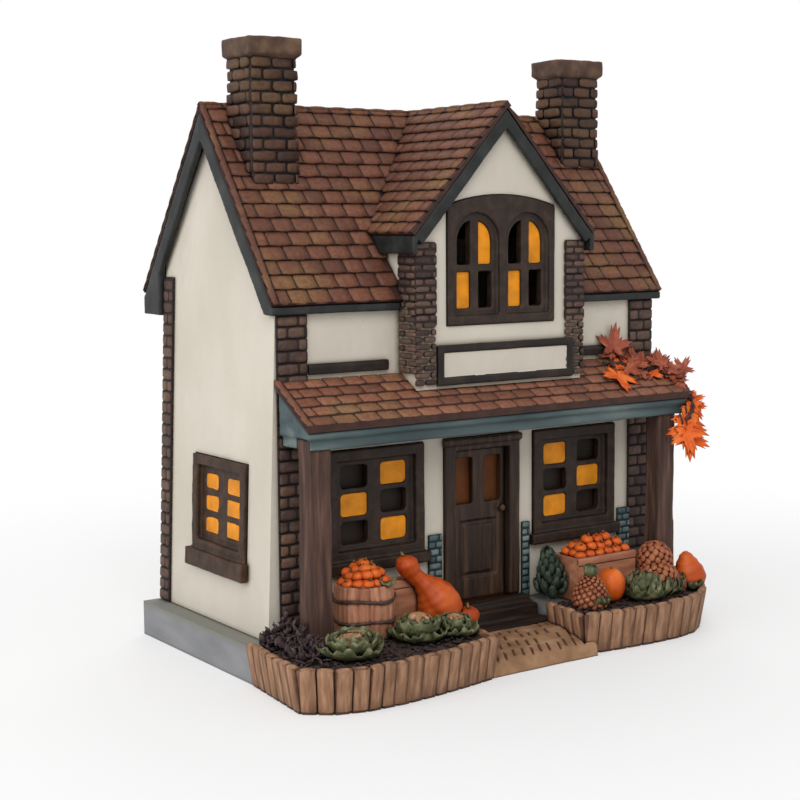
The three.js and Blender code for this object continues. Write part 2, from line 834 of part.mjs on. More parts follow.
// Dark trim round the main roof: a board under each verge, the front fascias and the boxed back eave
function roofTrim() {
  const top = tileLayer + seatGap;
  const front = frontEaveAcross + fasciaSetBack;
  const back = backEaveAcross - fasciaSetBack;
  const inside = underRoof(
    mainLines,
    top + vergeBoardDepth,
    front + fasciaThickness,
    wallBack + seatGap,
    0,
  );
  const boards = cut(prismX(
    underRoof(mainLines, top, front, back, backSoffitHeight),
    -roofHalfLength,
    roofHalfLength,
  ), [
    prismX(inside, -beyond, beyond),
    belowMainRoof(top).intersect(block(
      -roofHalfLength + vergeBoardThickness,
      roofHalfLength - vergeBoardThickness,
      -beyond,
      beyond,
      0,
      beyond,
    )),
    block(-beyond, beyond, -beyond, 0, 0, frontFasciaFoot),
  ]);
  const eaveCut = (across) => {
    const tip = mainLines.left.at(1, 0);
    const root = mainLines.left.at(1, tileLayer + roofDeck);
    return tip[1] + (across - tip[0]) * (root[1] - tip[1]) / (root[0] - tip[0]) - seatGap - 0.1;
  };
  const fasciaOutline = [
    [front, frontFasciaFoot],
    [front + fasciaThickness, frontFasciaFoot],
    [front + fasciaThickness, eaveCut(front + fasciaThickness)],
    [front, eaveCut(front)],
  ];
  const bayEdge = bayHalfWidth + brickProud + seatGap;
  const soffit = prismX([
    [wallBack + seatGap, backSoffitHeight],
    [back, backSoffitHeight],
    [back, mainLines.right.height(back, wallTopDepth)],
    [wallBack + seatGap, mainLines.right.height(wallBack + seatGap, wallTopDepth)],
  ], -roofHalfLength + 1, roofHalfLength - 1);
  return join([
    boards,
    soffit,
    prismX(fasciaOutline, -roofHalfLength, bayCentre - bayEdge),
    prismX(fasciaOutline, bayCentre + bayEdge, roofHalfLength),
  ]);
}

// Boards under the front edge of the bay's roof, turned back along its two eaves
function dormerBoard() {
  const top = tileLayer + seatGap;
  const front = -bayFront - dormerOverhang;
  const foot = dormerEaveHeight - dormerFasciaDrop;
  const board = prismY(
    roofBand(dormerLines, top, top + dormerBoardDepth),
    front,
    front + dormerBoardThickness,
  );
  const eaveBoards = [-1, 1].flatMap((side) => {
    const line = side < 0 ? dormerLines.left : dormerLines.right;
    const inner = bayCentre + side * (bayHalfWidth + brickProud + 2 * seatGap);
    const edge = inner + side * fasciaThickness;
    const tip = line.at(1, 0);
    const root = line.at(1, tileLayer + roofDeck);
    const underEave = (x) => tip[1] + (x - tip[0]) * (root[1] - tip[1]) / (root[0] - tip[0]) - seatGap - 0.1;
    const run = [[edge, foot], [inner, foot], [inner, underEave(inner)], [edge, underEave(edge)]];
    const toe = [
      [edge, foot],
      [inner, foot],
      [inner, line.height(inner, top)],
      [edge, line.height(edge, top)],
    ];
    return [
      cut(prismY(run, front, ridgeAcross), [belowMainRoof(-seatGap)]),
      prismY(toe, front, front + dormerBoardThickness),
    ];
  });
  return join([board, ...eaveBoards]);
}

// Brick courses as rings: each joint is drawn in, each brick face stands out
function brickRings(x0, x1, y0, y1, z0, z1, taper = 0) {
  const count = Math.max(1, Math.round((z1 - z0) / brickCourse));
  const course = (z1 - z0) / count;
  const rings = [];
  for (let i = 0; i < count; i += 1) {
    const foot = z0 + course * i;
    const spread = (z) => taper * (z1 - z) / (z1 - z0);
    const ring = (z, inset) => {
      const grow = spread(z) - inset;
      return rectangleRing(x0 - grow, x1 + grow, y0 - grow, y1 + grow, z);
    };
    rings.push(ring(foot, brickJoint), ring(foot + course * 0.18, 0), ring(foot + course * 0.82, 0));
  }
  rings.push(rectangleRing(x0 + brickJoint, x1 - brickJoint, y0 + brickJoint, y1 - brickJoint, z1));
  return loft(rings);
}

// The stepped edge of a brick strip: across is its outer face, foot its inner face
function brickOutline(outer, inner, z0, z1) {
  const count = Math.max(1, Math.round((z1 - z0) / brickCourse));
  const course = (z1 - z0) / count;
  const joint = brickJoint * Math.sign(inner - outer);
  const points = [[inner, z1], [inner, z0], [outer + joint, z0]];
  for (let i = 0; i < count; i += 1) {
    const foot = z0 + course * i;
    points.push(
      [outer, foot + course * 0.18],
      [outer, foot + course * 0.82],
      [outer + joint, foot + course],
    );
  }
  return points;
}

function chimney(x, y) {
  const shaftTop = chimneyTop - chimneyCapHeight;
  const shaftX = chimneyHalfWidth - chimneyCapLip;
  const shaftY = chimneyHalfDepth - chimneyCapLip;
  const shaft = brickRings(
    x - shaftX,
    x + shaftX,
    y - shaftY,
    y + shaftY,
    chimneyFoot,
    shaftTop,
    chimneyTaper,
  );
  const cap = loft([
    rectangleRing(x - shaftX - 0.6, x + shaftX + 0.6, y - shaftY - 0.6, y + shaftY + 0.6, shaftTop - 0.1),
    rectangleRing(
      x - chimneyHalfWidth,
      x + chimneyHalfWidth,
      y - chimneyHalfDepth,
      y + chimneyHalfDepth,
      shaftTop + 0.8,
    ),
    rectangleRing(
      x - chimneyHalfWidth,
      x + chimneyHalfWidth,
      y - chimneyHalfDepth,
      y + chimneyHalfDepth,
      chimneyTop,
    ),
  ]);
  const flue = block(
    x - shaftX + chimneyFlue,
    x + shaftX - chimneyFlue,
    y - shaftY + chimneyFlue,
    y + shaftY - chimneyFlue,
    chimneyTop - chimneyFlue,
    chimneyTop + 1,
  );
  return cut(join([shaft, cap]), [flue, belowMainRoof(-seatGap)]);
}

const quoinTop = mainLines.left.height(-wallFront - brickProud, wallTopDepth) - 0.1;
const quoinOuter = wallHalfWidth(quoinTop);

function frontQuoin(side) {
  const x0 = side < 0 ? -quoinOuter : quoinOuter - quoinWidth;
  const outline = brickOutline(-wallFront - brickProud, -wallFront - seatGap, wallFoot, quoinTop);
  return prismX(outline, x0, x0 + quoinWidth);
}

// A brick strip on a gable wall, its edge stepped and drawn in with the wall
function backQuoin(side) {
  const top = mainLines.right.height(wallBack, tileLayer + seatGap + vergeBoardDepth) - 1;
  const outline = brickOutline(brickProud, seatGap, wallFoot, top)
    .map(([across, z]) => [side * (wallHalfWidth(z) + across), z]);
  return prismY(outline, wallBack - sideQuoinWidth, wallBack);
}

function bayQuoin(side) {
  const edge = bayCentre + side * (bayHalfWidth + brickProud);
  const inner = edge - side * (bayQuoinWidth + brickProud);
  const top = dormerLines.left.height(
    bayCentre - bayHalfWidth - brickProud,
    tileLayer + roofDeck + seatGap,
  );
  const column = brickRings(
    Math.min(edge, inner),
    Math.max(edge, inner),
    -bayFront - brickProud,
    -wallFront - seatGap - 0.4,
    porchFrontHeight,
    top - 0.6,
  );
  const bay = bayBlock(seatGap, 0);
  return cut(column, [bay, belowPorch(seatGap), belowMainRoof(-seatGap)]);
}

// A casement window looking along -Y, its wall face at y = 0 and the foot of its frame at z = 0
function casement({ width, height, stile, rail, columns, rows, isOpen, sill }) {
  const back = wallThickness - seatGap;
  const half = width / 2;
  const frame = block(-half, half, -windowProud, back, 0, height);
  const sashTop = height - frameWidth;
  const sashHalf = half - frameWidth;
  const recess = block(
    -sashHalf,
    sashHalf,
    -windowProud - 1,
    sashRecess - windowProud,
    frameWidth,
    sashTop,
  );
  const face = sashRecess - windowProud;
  const grooves = [
    block(-sashGroove / 2, sashGroove / 2, face - 1, face + 1, frameWidth, sashTop),
  ];
  const sashWidth = sashHalf / (columns / 2);
  const paneWidth = sashWidth - 2 * stile;
  const paneHeight = (sashTop - frameWidth - (rows + 1) * rail) / rows;
  const panes = [];
  for (let c = 0; c < columns; c += 1) {
    for (let r = 0; r < rows; r += 1) {
      const x = -sashHalf + sashWidth * (c + 0.5);
      const z = frameWidth + rail + (paneHeight + rail) * r;
      const depth = isOpen(c, r) ? back + 1 : face + paneRecess;
      panes.push(shapeAlongY(roundedPane(x - paneWidth / 2, z, paneWidth, paneHeight), face - 1, depth, 1));
    }
  }
  const sillBlock = block(-half - sillOverhang, half + sillOverhang, -sillDepth, -seatGap, -sill, 0.4);
  return join([cut(frame, [recess, ...grooves, ...panes]), sillBlock]);
}

function roundedPane(x, z, width, height) {
  const shape = new THREE.Shape();
  const r = Math.min(paneCorner, width / 3, height / 3);
  shape.moveTo(x + r, z);
  shape.lineTo(x + width - r, z);
  shape.absarc(x + width - r, z + r, r, -Math.PI / 2, 0, false);
  shape.absarc(x + width - r, z + height - r, r, 0, Math.PI / 2, false);
  shape.absarc(x + r, z + height - r, r, Math.PI / 2, Math.PI, false);
  shape.absarc(x + r, z + r, r, Math.PI, Math.PI * 1.5, false);
  return shape;
}

function placedFront(piece, x, z) {
  return piece.translate([x, -wallFront, z]);
}

function frontWindow(side) {
  const openParity = side < 0 ? 0 : 1;
  return placedFront(casement({
    width: windowWidth,
    height: windowHeight,
    stile: sashStile,
    rail: sashRail,
    columns: 2,
    rows: 3,
    isOpen: (c, r) => (c + r) % 2 === openParity,
    sill: sillThickness,
  }), side * windowCentre, windowSill);
}

function frontWindowOpening(x) {
  const half = windowWidth / 2 + seatGap;
  return block(
    x - half,
    x + half,
    -wallFront - 3,
    -wallFront + wallThickness + 1,
    windowSill - seatGap,
    windowSill + windowHeight + seatGap,
  );
}

// The gable wall's own frame: turned to face sideways and tilted by the draft
function toGable(piece, side) {
  const middle = sideWindowSill + sideWindowHeight / 2;
  const matrix = new THREE.Matrix4()
    .makeTranslation(side * wallHalfWidth(middle), sideWindowCentre, middle)
    .multiply(new THREE.Matrix4().makeRotationY(-side * Math.atan(wallDraft)))
    .multiply(new THREE.Matrix4().makeRotationZ(side * Math.PI / 2))
    .multiply(new THREE.Matrix4().makeTranslation(0, 0, -sideWindowHeight / 2));
  return solid(toGeometry(piece).applyMatrix4(matrix));
}

function sideWindow(side) {
  return toGable(casement({
    width: sideWindowWidth,
    height: sideWindowHeight,
    stile: sideSashStile,
    rail: sideSashRail,
    columns: 2,
    rows: 3,
    isOpen: () => false,
    sill: sideSillThickness,
  }), side);
}

function sideOpening(side) {
  const half = sideWindowWidth / 2 + seatGap;
  return toGable(block(-half, half, -4, wallThickness + 2, -seatGap, sideWindowHeight + seatGap), side);
}

// Outline of the bay window frame: upright sides and a shallow arched head
function bayWindowShape(grow) {
  const half = bayWindowWidth / 2 + grow;
  const rise = bayWindowRise;
  const radius = (half * half + rise * rise) / (2 * rise);
  const centreZ = bayWindowShoulder + rise + grow - radius;
  const angle = Math.asin(half / radius);
  const shape = new THREE.Shape();
  shape.moveTo(bayCentre - half, bayWindowFoot - grow);
  shape.lineTo(bayCentre + half, bayWindowFoot - grow);
  shape.absarc(bayCentre, centreZ, radius, Math.PI / 2 - angle, Math.PI / 2 + angle, false);
  return shape;
}

function bayArchShape(x, inset) {
  const half = bayArchWidth / 2 - inset;
  const spring = bayArchTop - bayArchWidth / 2;
  const shape = new THREE.Shape();
  shape.moveTo(x - half, bayArchFoot + inset);
  shape.lineTo(x + half, bayArchFoot + inset);
  shape.absarc(x, spring, half, 0, Math.PI, false);
  return shape;
}

function bayWindow() {
  const back = wallThickness - seatGap;
  const frame = shapeAlongY(bayWindowShape(0), -bayWindowProud, back, 6);
  const face = 0.6;
  const cuts = [];
  [-1, 1].forEach((side) => {
    const x = bayCentre + side * bayArchSpacing / 2;
    cuts.push(shapeAlongY(bayArchShape(x, 0), -bayWindowProud - 1, face, 6));
    cuts.push(block(
      x - sashGroove / 2,
      x + sashGroove / 2,
      face - 1,
      face + 1,
      bayArchFoot,
      bayArchTop - 0.2,
    ));
    [-1, 1].forEach((hand) => {
      const centre = x + hand * bayArchWidth / 4;
      [0, 1].forEach((row) => {
        const open = (hand < 0) === (row === 1);
        const z0 = row === 0 ? bayArchFoot + bayPaneMargin : bayPaneRail + bayPaneMargin / 2;
        const z1 = row === 0 ? bayPaneRail - bayPaneMargin / 2 : bayArchTop;
        const pane = block(
          centre - bayPaneWidth / 2,
          centre + bayPaneWidth / 2,
          face - 1,
          open ? back + 1 : face + paneRecess,
          z0,
          z1,
        );
        cuts.push(pane.intersect(shapeAlongY(bayArchShape(x, bayPaneMargin), -5, 10, 6)));
      });
    });
  });
  return cut(frame, cuts).translate([0, -bayFront, 0]);
}

function bayWindowOpening() {
  return shapeAlongY(bayWindowShape(seatGap), -bayFront - 3, -bayFront + wallThickness + 1, 6);
}

const doorFoot = thresholdHeight + seatGap;
const doorBack = -wallFront + wallThickness - seatGap;

function doorOpening() {
  const half = doorWidth / 2 + seatGap;
  return block(
    doorCentre - half,
    doorCentre + half,
    -wallFront - 3,
    -wallFront + wallThickness + 1,
    wallFoot - 5,
    doorTop + seatGap,
  );
}

function doorFrame() {
  const half = doorWidth / 2;
  const outer = block(
    doorCentre - half,
    doorCentre + half,
    -wallFront - windowProud,
    doorBack,
    doorFoot,
    doorTop,
  );
  const inner = half - doorFrameWidth;
  const hole = block(
    doorCentre - inner,
    doorCentre + inner,
    -wallFront - 5,
    doorBack + 1,
    doorFoot - 1,
    doorTop - doorFrameWidth,
  );
  const hood = block(
    doorCentre - half - 0.8,
    doorCentre + half + 0.8,
    -wallFront - windowProud - 0.8,
    -wallFront - seatGap,
    doorTop - 2.6,
    doorTop,
  );
  return join([cut(outer, [hole]), hood]);
}

function doorLeaf() {
  const half = doorWidth / 2 - doorFrameWidth - seatGap;
  const front = -wallFront + doorLeafRecess;
  const leaf = block(
    doorCentre - half,
    doorCentre + half,
    front,
    front + doorLeafThickness,
    doorFoot,
    doorTop - doorFrameWidth - seatGap,
  );
  const spread = half / 2 + 0.4;
  const panes = [-1, 1].map((hand) => block(
    doorCentre + hand * spread - doorPaneWidth / 2,
    doorCentre + hand * spread + doorPaneWidth / 2,
    front - 1,
    front + doorLeafThickness + 1,
    doorPaneFoot,
    doorPaneTop,
  ));
  const panelHalf = doorPanelWidth / 2;
  const moat = cut(
    block(
      doorCentre - panelHalf,
      doorCentre + panelHalf,
      front - 1,
      front + 0.9,
      doorPanelFoot,
      doorPanelTop,
    ),
    [loft([
      rectangleRing(
        doorCentre - panelHalf + 1.6,
        doorCentre + panelHalf - 1.6,
        doorPanelFoot + 1.6,
        doorPanelTop - 1.6,
        0,
      ),
      rectangleRing(
        doorCentre - panelHalf + 2.6,
        doorCentre + panelHalf - 2.6,
        doorPanelFoot + 2.6,
        doorPanelTop - 2.6,
        2,
      ),
    ]).rotate([90, 0, 0]).translate([0, front + 1, 0])],
  );
  return cut(leaf, [...panes, moat]).add(doorKnob());
}

// Knob moulded on the leaf
function doorKnob() {
  const profile = [
    [0, 0],
    [0.7, 0],
    [0.7, 1],
    [doorKnobRadius, 1.6],
    [doorKnobRadius * 0.9, 2.8],
    [0, 3.2],
  ];
  const x = doorCentre + doorWidth / 2 - doorFrameWidth - seatGap - 2.6;
  return turned(profile, 0, 0, 0, 10)
    .rotate([90, 0, 0])
    .translate([x, -wallFront + doorLeafRecess + 0.3, doorKnobHeight]);
}

function doorSteps() {
  const half = stepWidth / 2;
  const back = -plinthFront - seatGap;
  const tread = doorWidth / 2 + 1.4;
  return join([
    block(doorCentre - half, doorCentre + half, back - stepDepth, back, pathSeat + seatGap, bedSoil),
    block(
      stepLeft,
      doorCentre + half + lowerStepSpread,
      back - 2 * stepDepth,
      back - stepDepth + 0.1,
      pathSeat + seatGap,
      lowerStepHeight,
    ),
    block(doorCentre - tread, doorCentre + tread, back - 3.4, back, bedSoil - 1, thresholdHeight),
    block(
      doorCentre - tread,
      doorCentre + tread,
      back - 1,
      -wallFront - seatGap,
      wallFoot,
      thresholdHeight,
    ),
  ]);
}

function signBoard() {
  const front = -bayFront - seatGap - signProud;
  const board = block(signLeft, signRight, front, -bayFront - seatGap, signFoot, signTop);
  const panel = block(
    signLeft + signBorder,
    signRight - signBorder,
    front - 1,
    front + 0.8,
    signFoot + signBorder,
    signTop - signBorder,
  );
  return cut(board, [panel, belowPorch(seatGap)]);
}

function wallRail(side) {
  const quoinEdge = quoinOuter - quoinWidth - seatGap;
  const near = side < 0 ? -quoinEdge : quoinEdge;
  const far = near - side * (side < 0 ? railLength : quoinEdge - bayCentre - bayHalfWidth - 2);
  const outline = [
    [-wallFront - seatGap, railTop],
    [-wallFront - seatGap, railTop - railHeight],
    [-wallFront - railProud, railTop - railHeight],
    [-wallFront - railProud - railLip, railTop - 1.2],
    [-wallFront - railProud, railTop],
  ];
  return cut(prismX(outline, Math.min(near, far), Math.max(near, far)), [belowPorch(seatGap)]);
}

function porchRoof() {
  const back = -wallFront - seatGap;
  const length = -back + porchFront;
  const top = [];
  for (let i = 0; i < porchCourses; i += 1) {
    const upper = back + (-porchFront - back) * i / porchCourses;
    const lower = back + (-porchFront - back) * (i + 1) / porchCourses;
    top.push([upper, porchHeight(upper) - tileStep], [lower, porchHeight(lower)]);
  }
  const slab = prismX([
    ...top,
    [-porchFront, porchHeight(-porchFront) - porchSlab],
    [back, porchHeight(back) - porchSlab],
  ], -porchHalfWidth, porchHalfWidth);
  const quoinNotch = (side) => {
    const outer = wallHalfWidth(porchBackHeight) + 1;
    const inner = outer - quoinWidth - 2;
    const edges = [side * outer, side * inner].sort((a, b) => a - b);
    return block(edges[0], edges[1], -wallFront - brickProud - seatGap, -wallFront + 1, 0, beyond);
  };
  return cut(slab, [quoinNotch(-1), quoinNotch(1)]);
}

// Beam under the porch roof: a front run and two side returns, the lower tier set back
function porchBeam() {
  const top = porchHeight(-porchFront) - porchSlab - seatGap;
  const front = -porchFront + beamInset;
  const half = porchHalfWidth - beamInset;
  const back = -wallFront - brickProud - seatGap - 0.3;
  const tier = (inset, low, high) => cut(
    block(-half + inset, half - inset, front + inset, back, low, high),
    [block(
      -half + inset + beamThickness,
      half - inset - beamThickness,
      front + inset + beamThickness,
      back + 1,
      low - 1,
      high + 1,
    )],
  );
  const slopeTop = prismX([
    [front, top],
    [front, top - 0.5],
    [back, top - 0.5],
    [back, top + porchFall * (back - front)],
  ], -half, half);
  const hollow = block(-half + beamThickness, half - beamThickness, front + 2, back + 1, 0, beyond);
  const posts = [-1, 1].map((side) => postSpace(side, seatGap));
  const whole = join([
    tier(0, top - beamTopTier, top),
    tier(beamStep, top - beamTopTier - beamLowTier, top - beamTopTier + 0.1),
    cut(slopeTop, [hollow]),
  ]);
  return cut(whole, posts);
}

const postTop = porchFrontHeight - porchSlab - seatGap - beamTopTier - seatGap;

function postEdges(side) {
  const x0 = side < 0 ? postInsetLeft - porchHalfWidth : porchHalfWidth - postInsetRight - postWidth;
  return [x0, x0 + postWidth];
}

function postSpace(side, grow) {
  const [x0, x1] = postEdges(side);
  const y0 = -porchFront + postSetBack;
  return block(x0 - grow, x1 + grow, y0 - grow, y0 + postDepth + grow, 0, postTop + grow);
}

function porchPost(side) {
  const [x0, x1] = postEdges(side);
  const y0 = -porchFront + postSetBack;
  const ring = (grow, z) => rectangleRing(x0 - grow, x1 + grow, y0 - grow, y0 + postDepth + grow, z);
  return loft([
    ring(postFlare, bedSoil + seatGap),
    ring(postFlare, bedSoil + 4),
    ring(0, bedSoil + 30),
    ring(-0.1, postTop - 12),
    ring(0, postTop),
  ]);
}

function frontPath() {
  const base = pathSeat + seatGap;
  const lip = -pathFront + 8.7;
  const profile = [
    [-pathBack, base],
    [-pathBack, pathBackHeight],
    [-pathBack - 10, pathBackHeight + 0.3],
    [-pathFront + 7, pathFrontHeight + 0.6],
    [-pathFront + 2.6, pathFrontHeight - 0.6],
    [-pathFront + 0.6, pathFrontHeight - 2.6],
    [-pathFront, 0],
    [lip, 0],
    [lip, base],
  ];
  const slab = prismX(profile, pathLeft - 1, pathRight + 4);
  const grow = seatGap;
  return cut(slab, [
    leaningWall(fenceLeftPlan, -8, grow, fenceHeight + 2),
    leaningWall(fenceRightPlan, -8, grow, fenceHeight + 2),
  ]);
}

// Planted and stacked things, each grown by a clearance when a neighbour is cut round it
function barrelSpace(grow) {
  return turned([
    [0, -grow],
    [barrelFootRadius + grow, -grow],
    [barrelBellyRadius + grow, barrelHeight * 0.45],
    [barrelBellyRadius + grow, barrelHeight * 0.6],
    [barrelRimRadius + grow, barrelHeight + grow],
    [0, barrelHeight + grow],
  ], barrelX, barrelY, bedSoil + seatGap, 14);
}

function barrel() {
  const foot = bedSoil + seatGap;
  const hoop = (level) => {
    const outer = barrelBellyRadius + hoopProud;
    const [low, high] = [level - hoopWidth / 2, level + hoopWidth / 2];
    const profile = [[outer - 2, low], [outer, low], [outer, high], [outer - 2, high], [outer - 2, low]];
    return turned(profile, barrelX, barrelY, foot, 14);
  };
  const well = rod(
    barrelRimRadius - barrelWall,
    foot + barrelHeight - 3.4,
    foot + barrelHeight + 5,
    barrelX,
    barrelY,
    14,
  );
  return cut(join([barrelSpace(0), hoop(barrelHeight * 0.32), hoop(barrelHeight * 0.74)]), [well]);
}

// A heap of small pumpkins standing on one floor piece
function heap(floor, places) {
  return join([floor, ...places.map(([x, y, z, r]) => ball(x, y, z, r, r, r * 0.92, 6, 4))]);
}

function barrelPumpkins() {
  const floorZ = bedSoil + barrelHeight - 2.6;
  const floor = rod(barrelRimRadius - barrelWall - seatGap, floorZ, floorZ + 2.4, barrelX, barrelY, 14);
  const places = [];
  for (let i = 0; i < 6; i += 1) {
    const angle = i * Math.PI / 3 + 0.3;
    places.push([
      barrelX + 5.9 * Math.cos(angle),
      barrelY + 5.9 * Math.sin(angle),
      floorZ + 4.2,
      smallPumpkin,
    ]);
  }
  for (let i = 0; i < 2; i += 1) {
    places.push([barrelX - 2.6 + 5.2 * i, barrelY - 0.6, floorZ + 7, smallPumpkin]);
  }
  return heap(floor, places);
}

function crate(x, y, length, depth, height) {
  const z = bedSoil + seatGap;
  const ring = (grow, level) => rectangleRing(
    x - length / 2 - grow,
    x + length / 2 + grow,
    y - depth / 2 - grow,
    y + depth / 2 + grow,
    level,
  );
  const outer = loft([ring(-0.5, z), ring(0, z + height)]);
  const well = loft([ring(-crateBoard - 0.2, z + height - crateWell), ring(-crateBoard, z + height + 1)]);
  return cut(outer, [well]);
}

function crateRightPumpkins() {
  const floorZ = bedSoil + seatGap + crateRightHeight - crateWell + seatGap;
  const halfX = crateRightLength / 2 - crateBoard - 0.8;
  const halfY = crateRightDepth / 2 - crateBoard - 0.7;
  const floor = block(
    crateRightX - halfX,
    crateRightX + halfX,
    crateRightY - halfY,
    crateRightY + halfY,
    floorZ,
    floorZ + 3,
  );
  const places = [];
  for (let i = 0; i < 4; i += 1) {
    for (let k = 0; k < 2 - i % 2; k += 1) {
      const x = crateRightX - halfX + smallPumpkin + 0.3 + i * (2 * halfX - 2 * smallPumpkin - 0.6) / 3;
      places.push([x, crateRightY + (k - 0.5) * 4.4, floorZ + 5 + 0.6 * Math.sin(i * 2 + k), smallPumpkin]);
    }
  }
  for (let i = 0; i < 2; i += 1) {
    places.push([crateRightX - 4 + i * 8, crateRightY, floorZ + 8.4, smallPumpkin]);
  }
  return heap(floor, places);
}

// The gourd: round sections along its bent spine
function gourdSpace(grow) {
  const sides = 8;
  return loft(gourdSpine.map(([x, y, z, radius], i) => {
    const before = gourdSpine[Math.max(i - 1, 0)];
    const after = gourdSpine[Math.min(i + 1, gourdSpine.length - 1)];
    const along = new THREE.Vector3(
      after[0] - before[0],
      after[1] - before[1],
      after[2] - before[2],
    ).normalize();
    if (i === gourdSpine.length - 1) {
      along.set(0, 0, -1);
    }
    const across = new THREE.Vector3(0, 1, 0).cross(along).normalize();
    const third = along.clone().cross(across);
    return Array.from({ length: sides }, (unused, k) => {
      const angle = k * Math.PI * 2 / sides;
      return new THREE.Vector3(x, y, bedSoil + z)
        .addScaledVector(across, (radius + grow) * Math.cos(angle))
        .addScaledVector(third, (radius + grow) * Math.sin(angle))
        .toArray();
    });
  }));
}

// Round lumps that stand on the soil
function lumps(places, grow, across, down) {
  return join(places.map(([x, y, z, radius]) => (
    ball(x, y, bedSoil + z, radius + grow, radius + grow, radius + grow, across, down))));
}

function aboveSoil(piece) {
  return cut(piece, [block(-beyond, beyond, -beyond, beyond, -beyond, bedSoil + seatGap)]);
}

function gourd() {
  const fenceSide = leaningWall(fenceLeftPlan, -fenceBoard - fenceCore - seatGap, seatGap, fenceHeight + 1);
  return cut(aboveSoil(join([gourdSpace(0), lumps([gourdPumpkin], 0, 10, 6)])), [fenceSide]);
}

// A cabbage: a round heart in a bowl of outer leaves, their edges raised
function cabbage([x, y, radius, height], turn = 0) {
  const leafCount = 5;
  const pointsPerLeaf = 3;
  const count = leafCount * pointsPerLeaf;
  const ring = (reach, level, wave, lift) => Array.from({ length: count }, (unused, k) => {
    const angle = k * Math.PI * 2 / count + turn;
    const edge = k % pointsPerLeaf === 0 ? 1 : 0;
    const reachHere = radius * (reach - wave * edge);
    const z = bedSoil + seatGap + height * (level + lift * (1 - edge));
    return [x + reachHere * Math.cos(angle), y + reachHere * Math.sin(angle), z];
  });
  return loft([
    ring(0.5, 0, 0, 0),
    ring(0.82, 0.12, 0.08, 0),
    ring(1, 0.5, 0.22, 0.14),
    ring(0.88, 0.52, 0.16, 0.14),
    ring(0.66, 0.42, 0, 0),
    ring(0.62, 0.76, 0.06, 0),
    ring(0.3, 1, 0, 0),
  ]);
}

function cabbageLeft() {
  return cut(cabbage(cabbageAtPost), [postSpace(-1, seatGap + postFlare), beyondFence(fenceLeftPlan)]);
}

function cabbagePair() {
  return cut(join([cabbage(cabbageAtBarrel), cabbage(cabbageAtPath, 0.5)]), [
    barrelSpace(seatGap + hoopProud + 1),
    gourdSpace(seatGap),
    beyondFence(fenceLeftPlan),
  ]);
}

function pineCone() {
  return turned(pineConeProfile, ...pineConePlace, bedSoil + seatGap, 12);
}

function ovalPumpkin(grow) {
  const [x, y, z] = ovalPumpkinPlace;
  const radius = ovalPumpkinRadius + grow;
  return ball(x, y, bedSoil + z, radius, radius, ovalPumpkinHalfHeight + grow, 12, 8);
}

function cornHeap() {
  return cut(aboveSoil(lumps(cornLumps, 0, 7, 5)), [
    crateRightSpace(),
    postSpace(1, seatGap + postFlare),
    lumps(squashLumps, seatGap, 10, 7),
    beyondFence(fenceRightPlan),
  ]);
}

function squashRight() {
  return cut(aboveSoil(lumps(squashLumps, 0, 10, 7)), [beyondFence(fenceRightPlan)]);
}

function cabbageRight() {
  return cut(cabbage(cabbageAtCrate), [
    ovalPumpkin(seatGap),
    lumps(cornLumps, seatGap + 0.1, 7, 5),
    crateRightSpace(),
    beyondFence(fenceRightPlan),
  ]);
}

function crateRightSpace() {
  const halfX = crateRightLength / 2 + seatGap;
  const halfY = crateRightDepth / 2 + seatGap;
  return block(
    crateRightX - halfX,
    crateRightX + halfX,
    crateRightY - halfY,
    crateRightY + halfY,
    0,
    beyond,
  );
}

// Bush beside the door
function doorShrub() {
  const stepsEdge = doorCentre + stepWidth / 2 + lowerStepSpread + seatGap;
  const steps = block(-beyond, stepsEdge, -beyond, beyond, 0, beyond);
  return cut(aboveSoil(lumps(shrubLumps, 0, 7, 5)), [steps, crateRightSpace()]);
}

// A flat maple leaf with five lobes, its stalk ending at the origin
function mapleLeaf(size) {
  const lobes = [[-32, 0.62], [28, 0.86], [90, 1], [152, 0.86], [212, 0.62]];
  const outline = [];
  const addPoint = (degrees, reach) => {
    const angle = degrees * Math.PI / 180;
    outline.push([size * reach * Math.cos(angle), size * (reach * Math.sin(angle) + 0.62)]);
  };
  addPoint(-88, 0.3);
  lobes.forEach(([degrees, reach], i) => {
    const toothed = size > 9.5 && reach > 0.7;
    const shoulders = toothed ? [[-15, 0.66], [0, 1], [15, 0.66]] : [[0, 1]];
    shoulders.forEach(([turn, share]) => addPoint(degrees + turn, reach * share));
    if (i + 1 < lobes.length) {
      addPoint(degrees + 30, 0.36);
    }
  });
  addPoint(268, 0.3);
  outline.push([-0.5, 0], [0.5, 0]);
  return solid(extruded(shapeOf(outline), leafThickness).translate(0, 0, -leafThickness / 2));
}

